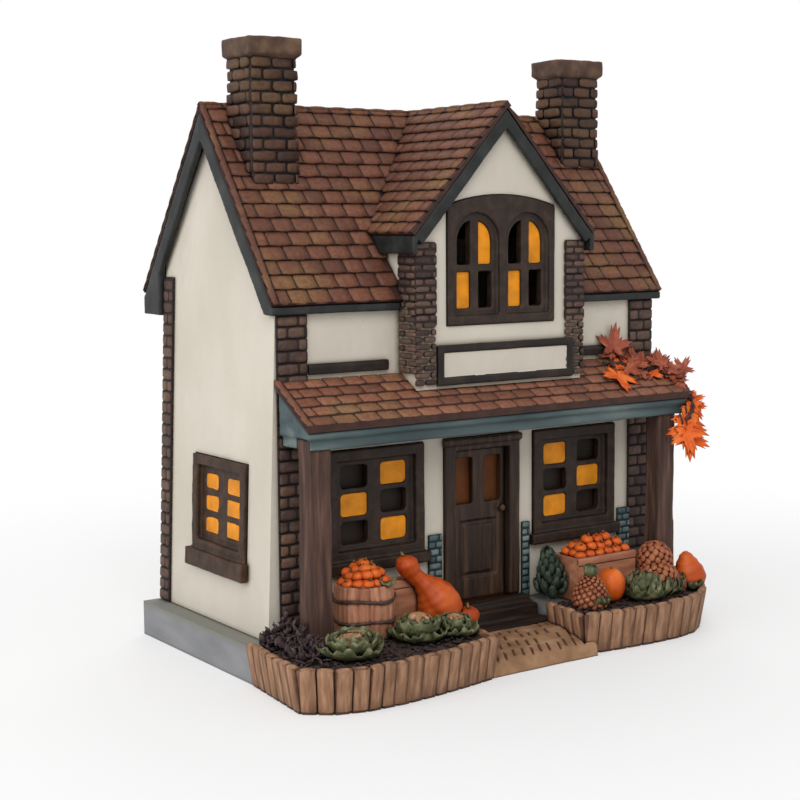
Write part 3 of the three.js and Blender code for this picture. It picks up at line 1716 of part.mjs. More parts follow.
function mapleGarland() {
  const onPorch = ([fromEnd, fromFront, lift]) => {
    const y = -porchFront + fromFront;
    return new THREE.Vector3(porchHalfWidth - fromEnd, y, porchHeight(y) + lift);
  };
  const ring = new THREE.Shape();
  ring.absarc(0, 0, vineRadius, 0, Math.PI * 2, false);
  const vine = solid(new THREE.ExtrudeGeometry(ring, {
    steps: vineSteps,
    extrudePath: new THREE.CatmullRomCurve3(garlandRoute.map(onPorch)),
    curveSegments: 3,
    bevelEnabled: false,
  }));
  const leaves = garlandLeaves.map(({ size, turn, tilt, swing, place }) => (
    mapleLeaf(size)
      .rotate([0, 0, turn])
      .rotate([tilt, 0, 0])
      .rotate([0, 0, swing])
      .translate(onPorch(place).toArray())));
  const porchEnd = porchHalfWidth + seatGap;
  const roof = block(-beyond, porchEnd, -porchFront - seatGap, beyond, 0, beyond);
  const beam = block(-beyond, porchEnd, -porchFront + beamInset - 2 * seatGap, beyond, 0, porchFrontHeight);
  const wall = block(-beyond, beyond, -wallFront - railProud - railLip - seatGap, beyond, 0, beyond);
  return cut(join([vine, ...leaves]), [belowPorch(seatGap).intersect(roof), beam, wall]);
}

// Cover plate with the battery box moulded on it
const boxLow = boxCentreX - boxLength / 2;
const boxHigh = boxCentreX + boxLength / 2;
const boxHalf = boxWidth / 2;
const boxTop = coverFace + coverThickness + boxHeight;
const hingeY = boxHalf - hingeRadius - doorFlapClearance;
const hingeZ = coverFace + hingeRadius;

function baseCover() {
  const plate = block(
    -recessHalfWidth + seatGap,
    recessHalfWidth - seatGap,
    -recessFront + seatGap,
    recessBack - seatGap,
    coverFace,
    coverFace + coverThickness,
  );
  const box = block(
    boxLow - boxWall,
    boxHigh + boxWall,
    -boxHalf - boxWall,
    boxHalf + boxWall,
    coverFace + 1,
    boxTop + boxWall,
  );
  const room = block(boxLow, boxHigh, -boxHalf, boxHalf, coverFace - 1, boxTop);
  const tabSlot = (y) => block(
    boxHigh - 1,
    boxHigh + boxWall + 1,
    y - 2.3,
    y + 2.3,
    boardHeight + boardThickness,
    boardHeight + boardThickness + 1.2,
  );
  const sockets = rodAlongX(
    hingePinRadius + hingePinClearance,
    boxLow - 1.4,
    boxHigh + 1.4,
    hingeY,
    hingeZ,
    16,
  );
  const knobSlot = block(
    switchX - knobLength / 2 - knobClearance,
    switchX + knobLength / 2 + knobTravel + knobClearance,
    -1.6,
    1.6,
    coverFace - 1,
    coverFace + coverThickness + 1,
  );
  const knobPocket = block(switchX - 6, switchX + 6 + knobTravel, -4, 4, coverFace - 1, coverFace + 1.2);
  const studs = [-1, 1].flatMap((side) => [
    rod(
      2.4,
      coverFace + coverThickness - 0.2,
      boardHeight - seatGap,
      boardX + side * (boardLength / 2 - 4),
      side * (boardWidth / 2 - 4),
      12,
    ),
    rod(
      1,
      boardHeight - 1,
      boardHeight + boardThickness + 1,
      boardX + side * (boardLength / 2 - 4),
      side * (boardWidth / 2 - 4),
      12,
    ),
  ]);
  const screwHoles = [
    rod(screwShankRadius + seatGap, coverFace - 1, coverFace + coverThickness + 1, screwX, screwY, 12),
    rod(
      screwHeadRadius + seatGap,
      coverFace - 1,
      coverFace + screwHeadHeight + seatGap,
      screwX,
      screwY,
      16,
    ),
  ];
  const hookFoot = coverRecess + 1 + seatGap;
  const hookEdge = -cavityHalfWidth + seatGap;
  const hooks = hookRows.flatMap((y) => [
    block(
      hookEdge,
      hookEdge + 2,
      y - hookWidth / 2,
      y + hookWidth / 2,
      coverFace + 1,
      hookFoot + hookThickness,
    ),
    block(
      hookEdge - hookReach,
      hookEdge + 1,
      y - hookWidth / 2,
      y + hookWidth / 2,
      hookFoot,
      hookFoot + hookThickness,
    ),
  ]);
  return cut(join([plate, box, ...studs, ...hooks]), [
    room,
    sockets,
    knobSlot,
    knobPocket,
    ...screwHoles,
    tabSlot(-boxHalf / 2),
    tabSlot(boxHalf / 2),
  ]);
}

function batteryDoor() {
  const x0 = boxLow + doorFlapClearance;
  const x1 = boxHigh - doorFlapClearance;
  const flap = block(
    x0,
    x1,
    -boxHalf + doorFlapClearance + 0.2,
    hingeY,
    coverFace,
    coverFace + doorFlapThickness,
  );
  const barrelRod = rodAlongX(hingeRadius, x0, x1, hingeY, hingeZ, 16);
  const pin = rodAlongX(hingePinRadius, x0 - 1.2, x1 + 1.2, hingeY, hingeZ, 12);
  const catchEdge = -boxHalf + 1.8;
  const latch = block(
    boxCentreX - 6,
    boxCentreX + 6,
    catchEdge,
    catchEdge + 0.9,
    coverFace + 1,
    coverFace + doorFlapThickness + 1.3,
  );
  const fingerDish = block(
    boxCentreX - 6,
    boxCentreX + 6,
    -boxHalf + 2.4,
    -boxHalf + 5.4,
    coverFace - 1,
    coverFace + 0.7,
  );
  return cut(join([flap, barrelRod, pin, latch]), [fingerDish]);
}

const cellBottom = coverFace + doorFlapThickness + seatGap + 0.4;
const cellZ = cellBottom + cellRadius;
const cellRow = boxHalf - 0.5 - cellRadius;
const bumpHeight = 1.4;
const plateThickness = seatGap + contactSheet;
const nubTip = plateThickness + bumpHeight + seatGap;

function batteryCell(direction) {
  const profile = [
    [0, 0], [cellRadius - 0.6, 0], [cellRadius, 0.6], [cellRadius, cellLength - cellNubHeight - 0.6],
    [cellRadius - 0.6, cellLength - cellNubHeight], [cellNubRadius, cellLength - cellNubHeight],
    [cellNubRadius, cellLength], [0, cellLength],
  ];
  const lying = turned(profile, 0, 0, 0, 16).rotate([0, direction * 90, 0]);
  const x = direction > 0 ? boxHigh - nubTip - cellLength : boxLow + nubTip + cellLength;
  return lying.translate([x, direction > 0 ? -cellRow : cellRow, cellZ]);
}

// A contact spring that narrows towards the cell
function contactSpring(x, y, reach, direction) {
  const turns = 3;
  const points = [];
  for (let i = 0; i <= turns * springSteps; i += 1) {
    const t = i / (turns * springSteps);
    const radius = 4.4 - 1.6 * t;
    const angle = t * turns * Math.PI * 2;
    points.push(new THREE.Vector3(
      x + direction * reach * t,
      y + radius * Math.cos(angle),
      cellZ + radius * Math.sin(angle),
    ));
  }
  const wire = new THREE.Shape();
  wire.absarc(0, 0, springWire / 2, 0, Math.PI * 2, false);
  return solid(new THREE.ExtrudeGeometry(wire, {
    steps: turns * springSteps,
    extrudePath: new THREE.CatmullRomCurve3(points),
    curveSegments: 3,
    bevelEnabled: false,
  }));
}

const springReach = boxLength - plateThickness - nubTip - cellLength - seatGap - springWire / 2;

function contactPlate(end, y, width) {
  const x = end > 0 ? boxHigh - seatGap : boxLow + seatGap;
  const x0 = Math.min(x, x - end * contactSheet);
  return block(x0, x0 + contactSheet, y - width / 2, y + width / 2, cellZ - 5.6, cellZ + 5.6);
}

function contactBump(end, y) {
  const x = end > 0 ? boxHigh - plateThickness + 0.1 : boxLow + plateThickness - 0.1;
  const x1 = x - end * (bumpHeight + 0.1);
  return rodAlongX(2.4, Math.min(x, x1), Math.max(x, x1), y, cellZ, 12);
}

function bridgeContact() {
  const start = boxLow + seatGap + contactSheet / 2;
  return join([
    contactPlate(-1, 0, 2 * cellRow + 10),
    contactSpring(start, -cellRow, springReach + contactSheet / 2, 1),
    contactBump(-1, cellRow),
  ]);
}

// A contact at the board end, with a tab that passes through the box wall onto the board
function tabContact(y, extra) {
  const tabZ = boardHeight + boardThickness + seatGap;
  const tab = block(
    boxHigh - seatGap - contactSheet,
    boardX - boardLength / 2 + 3,
    y - 2,
    y + 2,
    tabZ,
    tabZ + contactSheet,
  );
  return join([contactPlate(1, y, 12), tab, extra]);
}

function positiveContact() {
  return tabContact(-cellRow, contactBump(1, -cellRow));
}

function negativeContact() {
  return tabContact(
    cellRow,
    contactSpring(boxHigh - seatGap - contactSheet / 2, cellRow, springReach + contactSheet / 2, -1),
  );
}

function lightBoard() {
  const plate = block(
    boardX - boardLength / 2,
    boardX + boardLength / 2,
    -boardWidth / 2,
    boardWidth / 2,
    boardHeight,
    boardHeight + boardThickness,
  );
  const holes = [-1, 1].map((side) => (
    rod(
      1 + seatGap,
      boardHeight - 1,
      boardHeight + boardThickness + 1,
      boardX + side * (boardLength / 2 - 4),
      side * (boardWidth / 2 - 4),
      12,
    )));
  const resistor = rodAlongX(1.1, boardX - 14, boardX - 8, -6, boardHeight + boardThickness + 0.9, 10);
  return join([cut(plate, holes), resistor, switchBody()]);
}

function lamp() {
  const r = lampRadius;
  const profile = [[0, 0], [r + 0.4, 0], [r + 0.4, 1], [r, 1], [r, lampHeight - r]];
  for (let i = 1; i < 4; i += 1) {
    const angle = i * Math.PI / 8;
    profile.push([r * Math.cos(angle), lampHeight - r + r * Math.sin(angle)]);
  }
  profile.push([0, lampHeight]);
  return turned(profile, boardX, 0, boardHeight + boardThickness + seatGap, 10);
}

// Slide switch soldered under the board
function switchBody() {
  const low = coverFace + coverThickness + seatGap;
  const body = block(
    switchX + knobTravel / 2 - switchLength / 2,
    switchX + knobTravel / 2 + switchLength / 2,
    -switchWidth / 2,
    switchWidth / 2,
    low,
    boardHeight + 0.1,
  );
  const track = block(
    switchX - knobLength / 2 - knobClearance,
    switchX + knobLength / 2 + knobTravel + knobClearance,
    -1.6,
    1.6,
    low - 1,
    low + 2.4,
  );
  return cut(body, [track]);
}

function switchKnob() {
  const low = coverFace + 0.2;
  const top = coverFace + coverThickness + seatGap + 2;
  const stem = block(switchX - knobLength / 2, switchX + knobLength / 2, -1.3, 1.3, low, top);
  const ridges = [
    -1,
    0,
    1,
  ].map((i) => block(switchX + i * 1.1 - 0.25, switchX + i * 1.1 + 0.25, -2, 2, low - 0.2, low + 0.3));
  return cut(stem, ridges);
}

function coverScrew(x) {
  const foot = coverFace + 0.1;
  const y = screwY;
  const profile = [
    [0, 0], [screwHeadRadius, 0], [screwHeadRadius, screwHeadHeight], [screwShankRadius, screwHeadHeight],
    [screwShankRadius, screwHeadHeight + screwLength - 1.4], [0, screwHeadHeight + screwLength],
  ];
  const slots = [
    block(x - 1.7, x + 1.7, y - 0.35, y + 0.35, foot - 1, foot + 0.8),
    block(x - 0.35, x + 0.35, y - 1.7, y + 1.7, foot - 1, foot + 0.8),
  ];
  return cut(turned(profile, x, y, foot, 12), slots);
}

// Amber film behind the door and the ground-floor windows
function glowFilm() {
  const front = -wallFront + wallThickness + seatGap;
  const half = windowCentre + windowWidth / 2 + 4;
  return block(-half, half, front, front + 0.5, wallFoot, windowSill + windowHeight + 4);
}

function toGeometry(piece) {
  const mesh = piece.getMesh();
  const geometry = new THREE.BufferGeometry();
  geometry.setAttribute('position', new THREE.Float32BufferAttribute(mesh.vertProperties, 3));
  geometry.setIndex([...mesh.triVerts]);
  return geometry;
}

const house = new THREE.Group();

function add(name, colour, piece) {
  const [hex, roughness] = paint[colour];
  const material = new THREE.MeshStandardMaterial({
    color: hex,
    roughness,
    metalness: metals.has(colour) ? 0.9 : 0,
    flatShading: true,
  });
  const mesh = new THREE.Mesh(toGeometry(piece), material);
  mesh.name = name;
  house.add(mesh);
}

// Building
add('garden_base', 'stone', gardenBase());
add('house_shell', 'cream', houseShell());
add('bay_shell', 'cream', bayShell());
add('main_roof', 'tile', mainRoof());
add('dormer_roof', 'tile', dormerRoof());
add('roof_trim', 'trim', roofTrim());
add('dormer_board', 'trim', dormerBoard());
add('chimney_left', 'chimney', chimney(chimneyLeftX, chimneyLeftY));
add('chimney_right', 'chimney', chimney(chimneyRightX, chimneyRightY));
add('quoin_front_left', 'brick', frontQuoin(-1));
add('quoin_front_right', 'brick', frontQuoin(1));
add('quoin_back_left', 'brick', backQuoin(-1));
add('quoin_back_right', 'brick', backQuoin(1));
add('quoin_bay_left', 'brick', bayQuoin(-1));
add('quoin_bay_right', 'brick', bayQuoin(1));
add('porch_roof', 'tile', porchRoof());
add('porch_beam', 'beam', porchBeam());
add('porch_post_left', 'timber', porchPost(-1));
add('porch_post_right', 'timber', porchPost(1));
add('window_front_left', 'frame', frontWindow(-1));
add('window_front_right', 'frame', frontWindow(1));
add('window_bay', 'frame', bayWindow());
add('window_side_left', 'frame', sideWindow(-1));
add('window_side_right', 'frame', sideWindow(1));
add('glow_film', 'amber', glowFilm());
add('door_frame', 'frame', doorFrame());
add('door_leaf', 'timber', doorLeaf());
add('door_steps', 'timber', doorSteps());
add('sign_board', 'trim', signBoard());
add('wall_rail_left', 'trim', wallRail(-1));
add('wall_rail_right', 'trim', wallRail(1));

// Garden
add('fence_left', 'fence', fence(fenceLeftPlan, fenceCornersLeft, fenceBoardLeft));
add('fence_right', 'fence', fence(fenceRightPlan, fenceCornersRight, fenceBoardRight));
add('front_path', 'path', frontPath());
add('barrel', 'barrel', barrel());
add('barrel_pumpkins', 'orange', barrelPumpkins());
add(
  'crate_left',
  'barrel',
  cut(
    crate(crateLeftX, crateLeftY, crateLeftLength, crateLeftDepth, crateLeftHeight),
    [gourdSpace(seatGap)],
  ),
);
add('gourd', 'orange', gourd());
add('cabbage_left', 'green', cabbageLeft());
add('cabbage_pair', 'green', cabbagePair());
add(
  'crate_right',
  'barrel',
  crate(crateRightX, crateRightY, crateRightLength, crateRightDepth, crateRightHeight),
);
add('crate_pumpkins', 'orange', crateRightPumpkins());
add('pine_cone', 'cone', pineCone());
add('oval_pumpkin', 'orange', aboveSoil(ovalPumpkin(0)));
add('cabbage_right', 'green', cabbageRight());
add('corn_heap', 'cone', cornHeap());
add('squash_right', 'orange', squashRight());
add('door_shrub', 'green', doorShrub());
add('maple_garland', 'leaf', mapleGarland());

// Light unit
add('base_cover', 'plastic', baseCover());
add('battery_door', 'plastic', batteryDoor());
add('battery_cell_front', 'cell', batteryCell(1));
add('battery_cell_back', 'cell', batteryCell(-1));
add('contact_bridge', 'steel', bridgeContact());
add('contact_positive', 'steel', positiveContact());
add('contact_negative', 'steel', negativeContact());
add('light_board', 'board', lightBoard());
add('lamp', 'amber', lamp());
add('switch_knob', 'switch', switchKnob());
add('cover_screw', 'steel', coverScrew(screwX));

// Origin: the middle of the footprint, on the surface that the house stands on
const bounds = new THREE.Box3().setFromObject(house);
const centre = bounds.getCenter(new THREE.Vector3());
house.position.set(-centre.x, -centre.y, -bounds.min.z);

export default house;
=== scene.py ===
"""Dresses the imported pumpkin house: tiles, bricks, carved timber, planting and painted finishes."""

import math
import random

import bmesh
import bpy
import numpy as np
from mathutils import Euler, Matrix, Vector, noise


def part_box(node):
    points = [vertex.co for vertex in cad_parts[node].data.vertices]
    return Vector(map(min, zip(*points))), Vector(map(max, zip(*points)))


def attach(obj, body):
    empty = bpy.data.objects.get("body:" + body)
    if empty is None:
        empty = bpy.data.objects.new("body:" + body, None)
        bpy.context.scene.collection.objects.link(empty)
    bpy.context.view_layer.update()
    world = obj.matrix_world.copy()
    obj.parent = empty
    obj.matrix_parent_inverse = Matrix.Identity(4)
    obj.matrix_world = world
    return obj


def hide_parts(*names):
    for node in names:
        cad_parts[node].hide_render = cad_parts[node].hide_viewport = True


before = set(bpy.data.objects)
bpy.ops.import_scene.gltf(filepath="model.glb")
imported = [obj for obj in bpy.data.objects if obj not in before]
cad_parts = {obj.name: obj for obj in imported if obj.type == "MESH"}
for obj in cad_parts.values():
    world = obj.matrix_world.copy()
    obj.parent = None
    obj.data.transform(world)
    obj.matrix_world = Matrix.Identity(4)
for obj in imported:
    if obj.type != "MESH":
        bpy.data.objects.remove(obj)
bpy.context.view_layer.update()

MM = 0.001
COVER_LOW, COVER_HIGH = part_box("base_cover")
COVER_OFF_CENTRE = 0.65
SHIFT = Vector((
    (COVER_LOW.x + COVER_HIGH.x) / 2,
    (COVER_LOW.y + COVER_HIGH.y) / 2 + COVER_OFF_CENTRE * MM,
    0,
))
HOUSE = "house"
GOLDEN_ANGLE = math.pi * (3 - math.sqrt(5))


def at(x, y, z):
    """A place on the house, in millimetres from its middle line, as metres in the part's frame."""
    return Vector((x * MM, y * MM, z * MM)) + SHIFT


def node_box(node):
    """Lowest and highest corner of a CAD node in the house's millimetres."""
    low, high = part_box(node)
    return (low - SHIFT) / MM, (high - SHIFT) / MM


def linked(name, data):
    obj = bpy.data.objects.new(name, data)
    bpy.context.scene.collection.objects.link(obj)
    return obj


# Camera, fitted to the photo
CAMERA_RIGHT = Vector((0.8203, -0.5719, -0.0073)).normalized()
CAMERA_BACK = Vector((-0.5675, -0.8158, 0.1112)).normalized()
CAMERA_UP = CAMERA_BACK.cross(CAMERA_RIGHT)
CAMERA_PLACE = (-366.5, -516.6, 161.4)
camera_data = bpy.data.cameras.new("camera")
camera_data.lens = 70.24
camera_data.sensor_width = 36
camera = linked("camera", camera_data)
camera_turn = Matrix((CAMERA_RIGHT, CAMERA_UP, CAMERA_BACK)).transposed().to_4x4()
camera.matrix_world = Matrix.Translation(at(*CAMERA_PLACE)) @ camera_turn
bpy.context.scene.camera = camera
bpy.context.scene.view_settings.view_transform = "Standard"


# Painted finishes
def new_node(tree, kind, sockets=(), **settings):
    """A node with its settings, and with each named socket set to a value or joined to an output."""
    node = tree.nodes.new(kind)
    for name, value in settings.items():
        setattr(node, name, value)
    for key, value in dict(sockets).items():
        if hasattr(value, "is_linked"):
            tree.links.new(value, node.inputs[key])
        else:
            node.inputs[key].default_value = value
    return node


def linear(c):
    """A screen value of 0 to 255 as the linear value that a shader takes."""
    c /= 255
    return c / 12.92 if c <= 0.04045 else ((c + 0.055) / 1.055) ** 2.4


def srgb(r, g, b):
    return linear(r), linear(g), linear(b), 1.0


class Finish:
    """A node-based paint that is put together step by step."""

    def __init__(self, name, roughness=0.65):
        self.material = bpy.data.materials.new(name)
        self.material.use_nodes = True
        self.tree = self.material.node_tree
        self.tree.nodes.clear()
        self.shader = self.node("BsdfPrincipled", {"Roughness": roughness, "Specular IOR Level": 0.28})
        self.output = self.node("OutputMaterial", {0: self.shader.outputs[0]})
        self.place = self.node("TexCoord").outputs["Object"]

    def node(self, kind, sockets=(), **settings):
        return new_node(self.tree, "ShaderNode" + kind, sockets, **settings)

    def noise(self, per_mm, stretch=(1, 1, 1), detail=4.0, seed=0.0):
        """Value noise on the piece's own coordinates, with so many blotches to the millimetre."""
        mapped = self.node("Mapping", {
            "Vector": self.place,
            "Scale": [s * per_mm / MM for s in stretch],
            "Location": (seed, seed * 1.7, seed * 0.6),
        })
        sockets = {"Vector": mapped.outputs[0], "Scale": 1.0, "Detail": detail}
        return self.node("TexNoise", sockets).outputs["Fac"]

    def ramp(self, value, stops):
        """A value turned into colours, stops being (position, colour)."""
        node = self.node("ValToRGB", {"Fac": value})
        elements = node.color_ramp.elements
        elements[0].position, elements[0].color = stops[0]
        elements[1].position, elements[1].color = stops[-1]
        for position, colour in stops[1:-1]:
            elements.new(position).color = colour
        return node.outputs["Color"]

    def mix(self, under, over, share, mode="MIX"):
        """One colour over another, by a share that is a number or another value."""
        return self.node("Mix", {0: share, 6: under, 7: over}, data_type="RGBA", blend_type=mode).outputs[2]

    def band(self, value, low, high):
        """A value stretched so that low becomes 0 and high becomes 1."""
        return self.node("MapRange", {"Value": value, "From Min": low, "From Max": high}).outputs["Result"]

    def hollow_shade(self, shade_reach_mm):
        """Near 1 in grooves and corners and 0 on open faces: an ambient-occlusion mask, used to paint shade
        into the colour.
        """
        open_sky = self.node("AmbientOcclusion", {"Distance": shade_reach_mm * MM}, samples=6).outputs["AO"]
        return self.band(open_sky, 0.92, 0.42)

    def axes(self):
        """The piece's own coordinates in metres, as one output for each axis."""
        return self.node("SeparateXYZ", {0: self.place}).outputs

    def tone(self):
        """The number that each laid tile or brick carries."""
        return self.node("Attribute", attribute_name="tone").outputs["Fac"]

    def relief(self, value, depth_mm):
        bump = self.node("Bump", {"Height": value, "Distance": depth_mm * MM, "Strength": 1.0})
        self.tree.links.new(bump.outputs[0], self.shader.inputs["Normal"])

    def done(self, colour):
        self.tree.links.new(colour, self.shader.inputs["Base Color"])
        return self.material


def blotched(name, dark, middle, light, per_mm=0.25, rough=0.65, grain=(1, 1, 1), wash_and_shade=None, reach=1.6,
             relief=0.12, relief_per_mm=1.6, relief_grain=None):
    """Paint with soft blotches of three colours, and a dark colour mixed into grooves and corners by ambient
    occlusion: partly the darker paint run into the figure's grooves, partly painted shade.
    """
    finish = Finish(name, rough)
    value = finish.noise(per_mm, grain, 5.0, 1.0)
    colour = finish.ramp(value, [(0.3, srgb(*dark)), (0.5, srgb(*middle)), (0.72, srgb(*light))])
    # Painted shade: the dark colour goes where ambient occlusion finds grooves and corners, and it also
    # stands for paint run into the grooves.
    if wash_and_shade:
        colour = finish.mix(colour, srgb(*wash_and_shade), finish.hollow_shade(reach))
    finish.relief(finish.noise(relief_per_mm, relief_grain or grain, 6.0, 4.0), relief)
    return finish.done(colour)


def laid_paint(name, dark, middle, light, brushed, wash_and_shade, reach=1.4):
    """Tile and brick paint: each unit has its own tone, dry-brushed patches run over many of them, and the
    joints get painted shade.
    """
    finish = Finish(name, 0.6)
    unit = finish.ramp(finish.tone(), [(0.0, srgb(*dark)), (0.5, srgb(*middle)), (1.0, srgb(*light))])
    patches = finish.band(finish.noise(0.03, (1, 1, 1.6), 3.0, 4.0), 0.52, 0.7)
    colour = finish.mix(unit, srgb(*brushed), patches)
    shade = finish.noise(0.7, (1, 1, 1), 6.0, 2.0)
    mottle = finish.ramp(shade, [(0.3, (0.72, 0.7, 0.7, 1)), (0.7, (1.2, 1.16, 1.12, 1))])
    colour = finish.mix(colour, mottle, 1.0, "MULTIPLY")
    # Painted shade: the last colour goes into the joints where ambient occlusion finds them, and it also
    # stands for paint run into the joints.
    colour = finish.mix(colour, srgb(*wash_and_shade), finish.hollow_shade(reach))
    finish.relief(finish.noise(1.8, (1, 1, 1), 6.0, 5.0), 0.16)
    return finish.done(colour)


# Where a paint below is given a dark colour after its three blotch colours (the fifth colour on laid paints),
# that colour is mixed in where ambient occlusion finds grooves and corners: partly paint run into the
# grooves, partly painted shade.
ROOF_TILE = laid_paint("roof_tile", (92, 57, 44), (105, 66, 50), (118, 76, 57), (126, 94, 60), (40, 25, 20),
                       1.15)
PORCH_TILE = laid_paint("porch_tile", (112, 72, 55), (130, 84, 64), (146, 99, 76), (142, 110, 76),
                        (58, 35, 28), 1.15)
PURPLE_BRICK = laid_paint("purple_brick", (58, 43, 40), (76, 57, 51), (98, 76, 66), (110, 86, 68),
                          (26, 19, 20))
CHIMNEY_BRICK = laid_paint("chimney_brick", (50, 33, 26), (69, 46, 36), (92, 64, 49), (92, 68, 47),
                           (15, 10, 8), 1.8)
TEAL_BRICK = laid_paint("teal_brick", (62, 82, 86), (82, 104, 108), (116, 134, 132), (132, 140, 134),
                        (22, 31, 36))
TEAL_MORTAR = blotched("teal_mortar", (24, 36, 42), (30, 46, 52), (40, 58, 64), wash_and_shade=(16, 24, 30))
ROOF_UNDER = blotched("roof_under", (48, 30, 25), (58, 36, 30), (70, 44, 35), wash_and_shade=(32, 20, 18))
BRICK_UNDER = blotched("brick_under", (30, 22, 22), (38, 28, 27), (48, 37, 34), wash_and_shade=(20, 15, 16))
CHIMNEY_CAP = blotched("chimney_cap", (60, 44, 36), (80, 59, 47), (110, 85, 64), 0.14, wash_and_shade=(34, 23, 20),
                       reach=2.0, relief=0.35, relief_per_mm=0.5)
DARK_TRIM = blotched("dark_trim", (22, 24, 24), (32, 34, 33), (50, 53, 51), 0.12, 0.5, wash_and_shade=(13, 13, 14),
                     reach=1.2, relief=0.1)
SIGN_TRIM = blotched("sign_trim", (19, 14, 12), (28, 21, 18), (50, 38, 31), 0.12, 0.5, wash_and_shade=(12, 9, 9),
                     reach=1.2, relief=0.1)
STEP_PAINT = blotched("step_paint", (22, 14, 10), (34, 21, 15), (60, 40, 29), 0.3, 0.55, grain=(0.2, 1, 1),
                      wash_and_shade=(12, 8, 6), reach=1.8, relief=0.2)
BLUE_BEAM = blotched("blue_beam", (56, 69, 72), (72, 87, 88), (104, 117, 114), 0.05, 0.55, grain=(0.5, 2, 3),
                     wash_and_shade=(32, 43, 46), reach=1.4, relief_grain=(0.2, 1, 1))
POST_WOOD = blotched("post_wood", (50, 34, 28), (73, 51, 43), (106, 78, 66), 0.5, 0.65, grain=(1, 1, 0.07),
                     wash_and_shade=(25, 17, 14), relief=0.6, relief_per_mm=1.0, relief_grain=(1, 1, 0.06))
DOOR_WOOD = blotched("door_wood", (34, 23, 17), (51, 35, 26), (82, 60, 44), 0.4, 0.5, grain=(1, 1, 0.08),
                     wash_and_shade=(15, 10, 8), reach=1.5, relief=0.25, relief_per_mm=1.0, relief_grain=(1, 1, 0.06))
FRAME_WOOD = blotched("frame_wood", (32, 22, 16), (43, 30, 22), (60, 44, 33), rough=0.5, wash_and_shade=(13, 8, 6),
                      reach=2.2, relief=0.2)
SIDE_FRAME = blotched("side_frame", (42, 26, 15), (56, 36, 22), (76, 52, 34), 0.2, 0.55, wash_and_shade=(20, 12, 9),
                      reach=2.4, relief=0.25)
FENCE_WOOD = blotched("fence_wood", (116, 84, 62), (148, 110, 83), (178, 138, 108), 0.5, 0.7,
                      grain=(1, 1, 0.1), wash_and_shade=(66, 42, 30), reach=1.2, relief=0.6, relief_per_mm=1.2,
                      relief_grain=(1, 1, 0.08))
FENCE_GAP = blotched("fence_gap", (92, 62, 48), (112, 76, 58), (134, 94, 72), wash_and_shade=(40, 25, 20), reach=1.8)
PATH_CLAY = blotched("path_clay", (128, 94, 68), (150, 114, 84), (174, 138, 106), 0.12, 0.75,
                     wash_and_shade=(80, 52, 38), reach=1.2, relief=0.2, relief_per_mm=0.8)
PATH_GROOVE = blotched("path_groove", (74, 50, 38), (88, 60, 46), (104, 74, 56), wash_and_shade=(50, 34, 28))
CRATE_WOOD = blotched("crate_wood", (142, 90, 66), (168, 112, 84), (190, 134, 102), 0.3, grain=(0.2, 1, 1),
                      wash_and_shade=(94, 50, 36), reach=1.4, relief=0.15)
STAVE_WOOD = blotched("stave_wood", (134, 84, 62), (172, 116, 88), (202, 150, 118), 0.4, grain=(1, 1, 0.15),
                      wash_and_shade=(70, 38, 28), reach=1.3, relief=0.25, relief_grain=(1, 1, 0.1))
HOOP_IRON = blotched("hoop_iron", (52, 38, 34), (72, 54, 47), (98, 76, 66), 0.5, wash_and_shade=(34, 24, 22), reach=0.8)
PUMPKIN_SKIN = blotched("pumpkin_skin", (190, 72, 16), (210, 92, 24), (226, 114, 40), 0.14, 0.42,
                        wash_and_shade=(118, 40, 10), relief=0.06, relief_per_mm=0.6)
SQUASH_SKIN = blotched("squash_skin", (160, 58, 15), (186, 76, 22), (208, 100, 40), 0.08, 0.45,
                       wash_and_shade=(104, 36, 12), relief=0.08, relief_per_mm=0.5)
LEAF_GREEN = blotched("leaf_green", (66, 70, 44), (96, 100, 68), (152, 148, 110), 0.35, 0.6,
                      wash_and_shade=(34, 34, 22), reach=1.8, relief=0.2)
SHRUB_TEAL = blotched("shrub_teal", (34, 44, 36), (50, 62, 50), (88, 100, 82), 0.3, 0.6, wash_and_shade=(18, 23, 19),
                      reach=1.8, relief=0.14)
HEART_TAN = blotched("heart_tan", (132, 104, 74), (164, 126, 90), (196, 154, 116), 0.3, 0.6,
                     wash_and_shade=(78, 48, 34), reach=1.4, relief=0.15)
STEM_GREEN = blotched("stem_green", (104, 84, 46), (128, 100, 56), (150, 122, 76), 0.5, wash_and_shade=(62, 44, 28))
SOIL = blotched("soil", (40, 30, 28), (58, 44, 40), (80, 62, 54), 0.5, 0.8, wash_and_shade=(26, 20, 20), relief=0.3)
TWIG = blotched("twig", (48, 34, 37), (68, 51, 52), (98, 78, 76), 0.4, 0.7, wash_and_shade=(28, 20, 22), relief=0.2)
CONE_SCALE = blotched("cone_scale", (128, 70, 44), (158, 92, 60), (182, 118, 80), rough=0.6,
                      wash_and_shade=(84, 38, 26), reach=1.2, relief=0.1)
MAPLE_ORANGE = blotched("maple_orange", (204, 78, 18), (224, 100, 26), (238, 134, 60), 0.2, 0.5,
                        wash_and_shade=(156, 50, 12), reach=1.0, relief=0.1)
MAPLE_RED = blotched("maple_red", (130, 60, 42), (158, 80, 56), (186, 108, 78), rough=0.55, wash_and_shade=(88, 38, 30),
                     reach=1.0, relief=0.1)
BLACK_PLASTIC = blotched("black_plastic", (38, 38, 40), (44, 44, 46), (52, 52, 54), 0.05, 0.5, relief=0.03,
                         relief_per_mm=4)
NICKEL = blotched("nickel", (176, 176, 178), (190, 190, 192), (204, 204, 206), 0.1, 0.32, relief=0.01)
NICKEL.node_tree.nodes["Principled BSDF"].inputs["Metallic"].default_value = 1.0
CELL_SLEEVE = blotched("cell_sleeve", (52, 54, 58), (60, 62, 66), (70, 72, 76), 0.05, 0.35, relief=0.01)
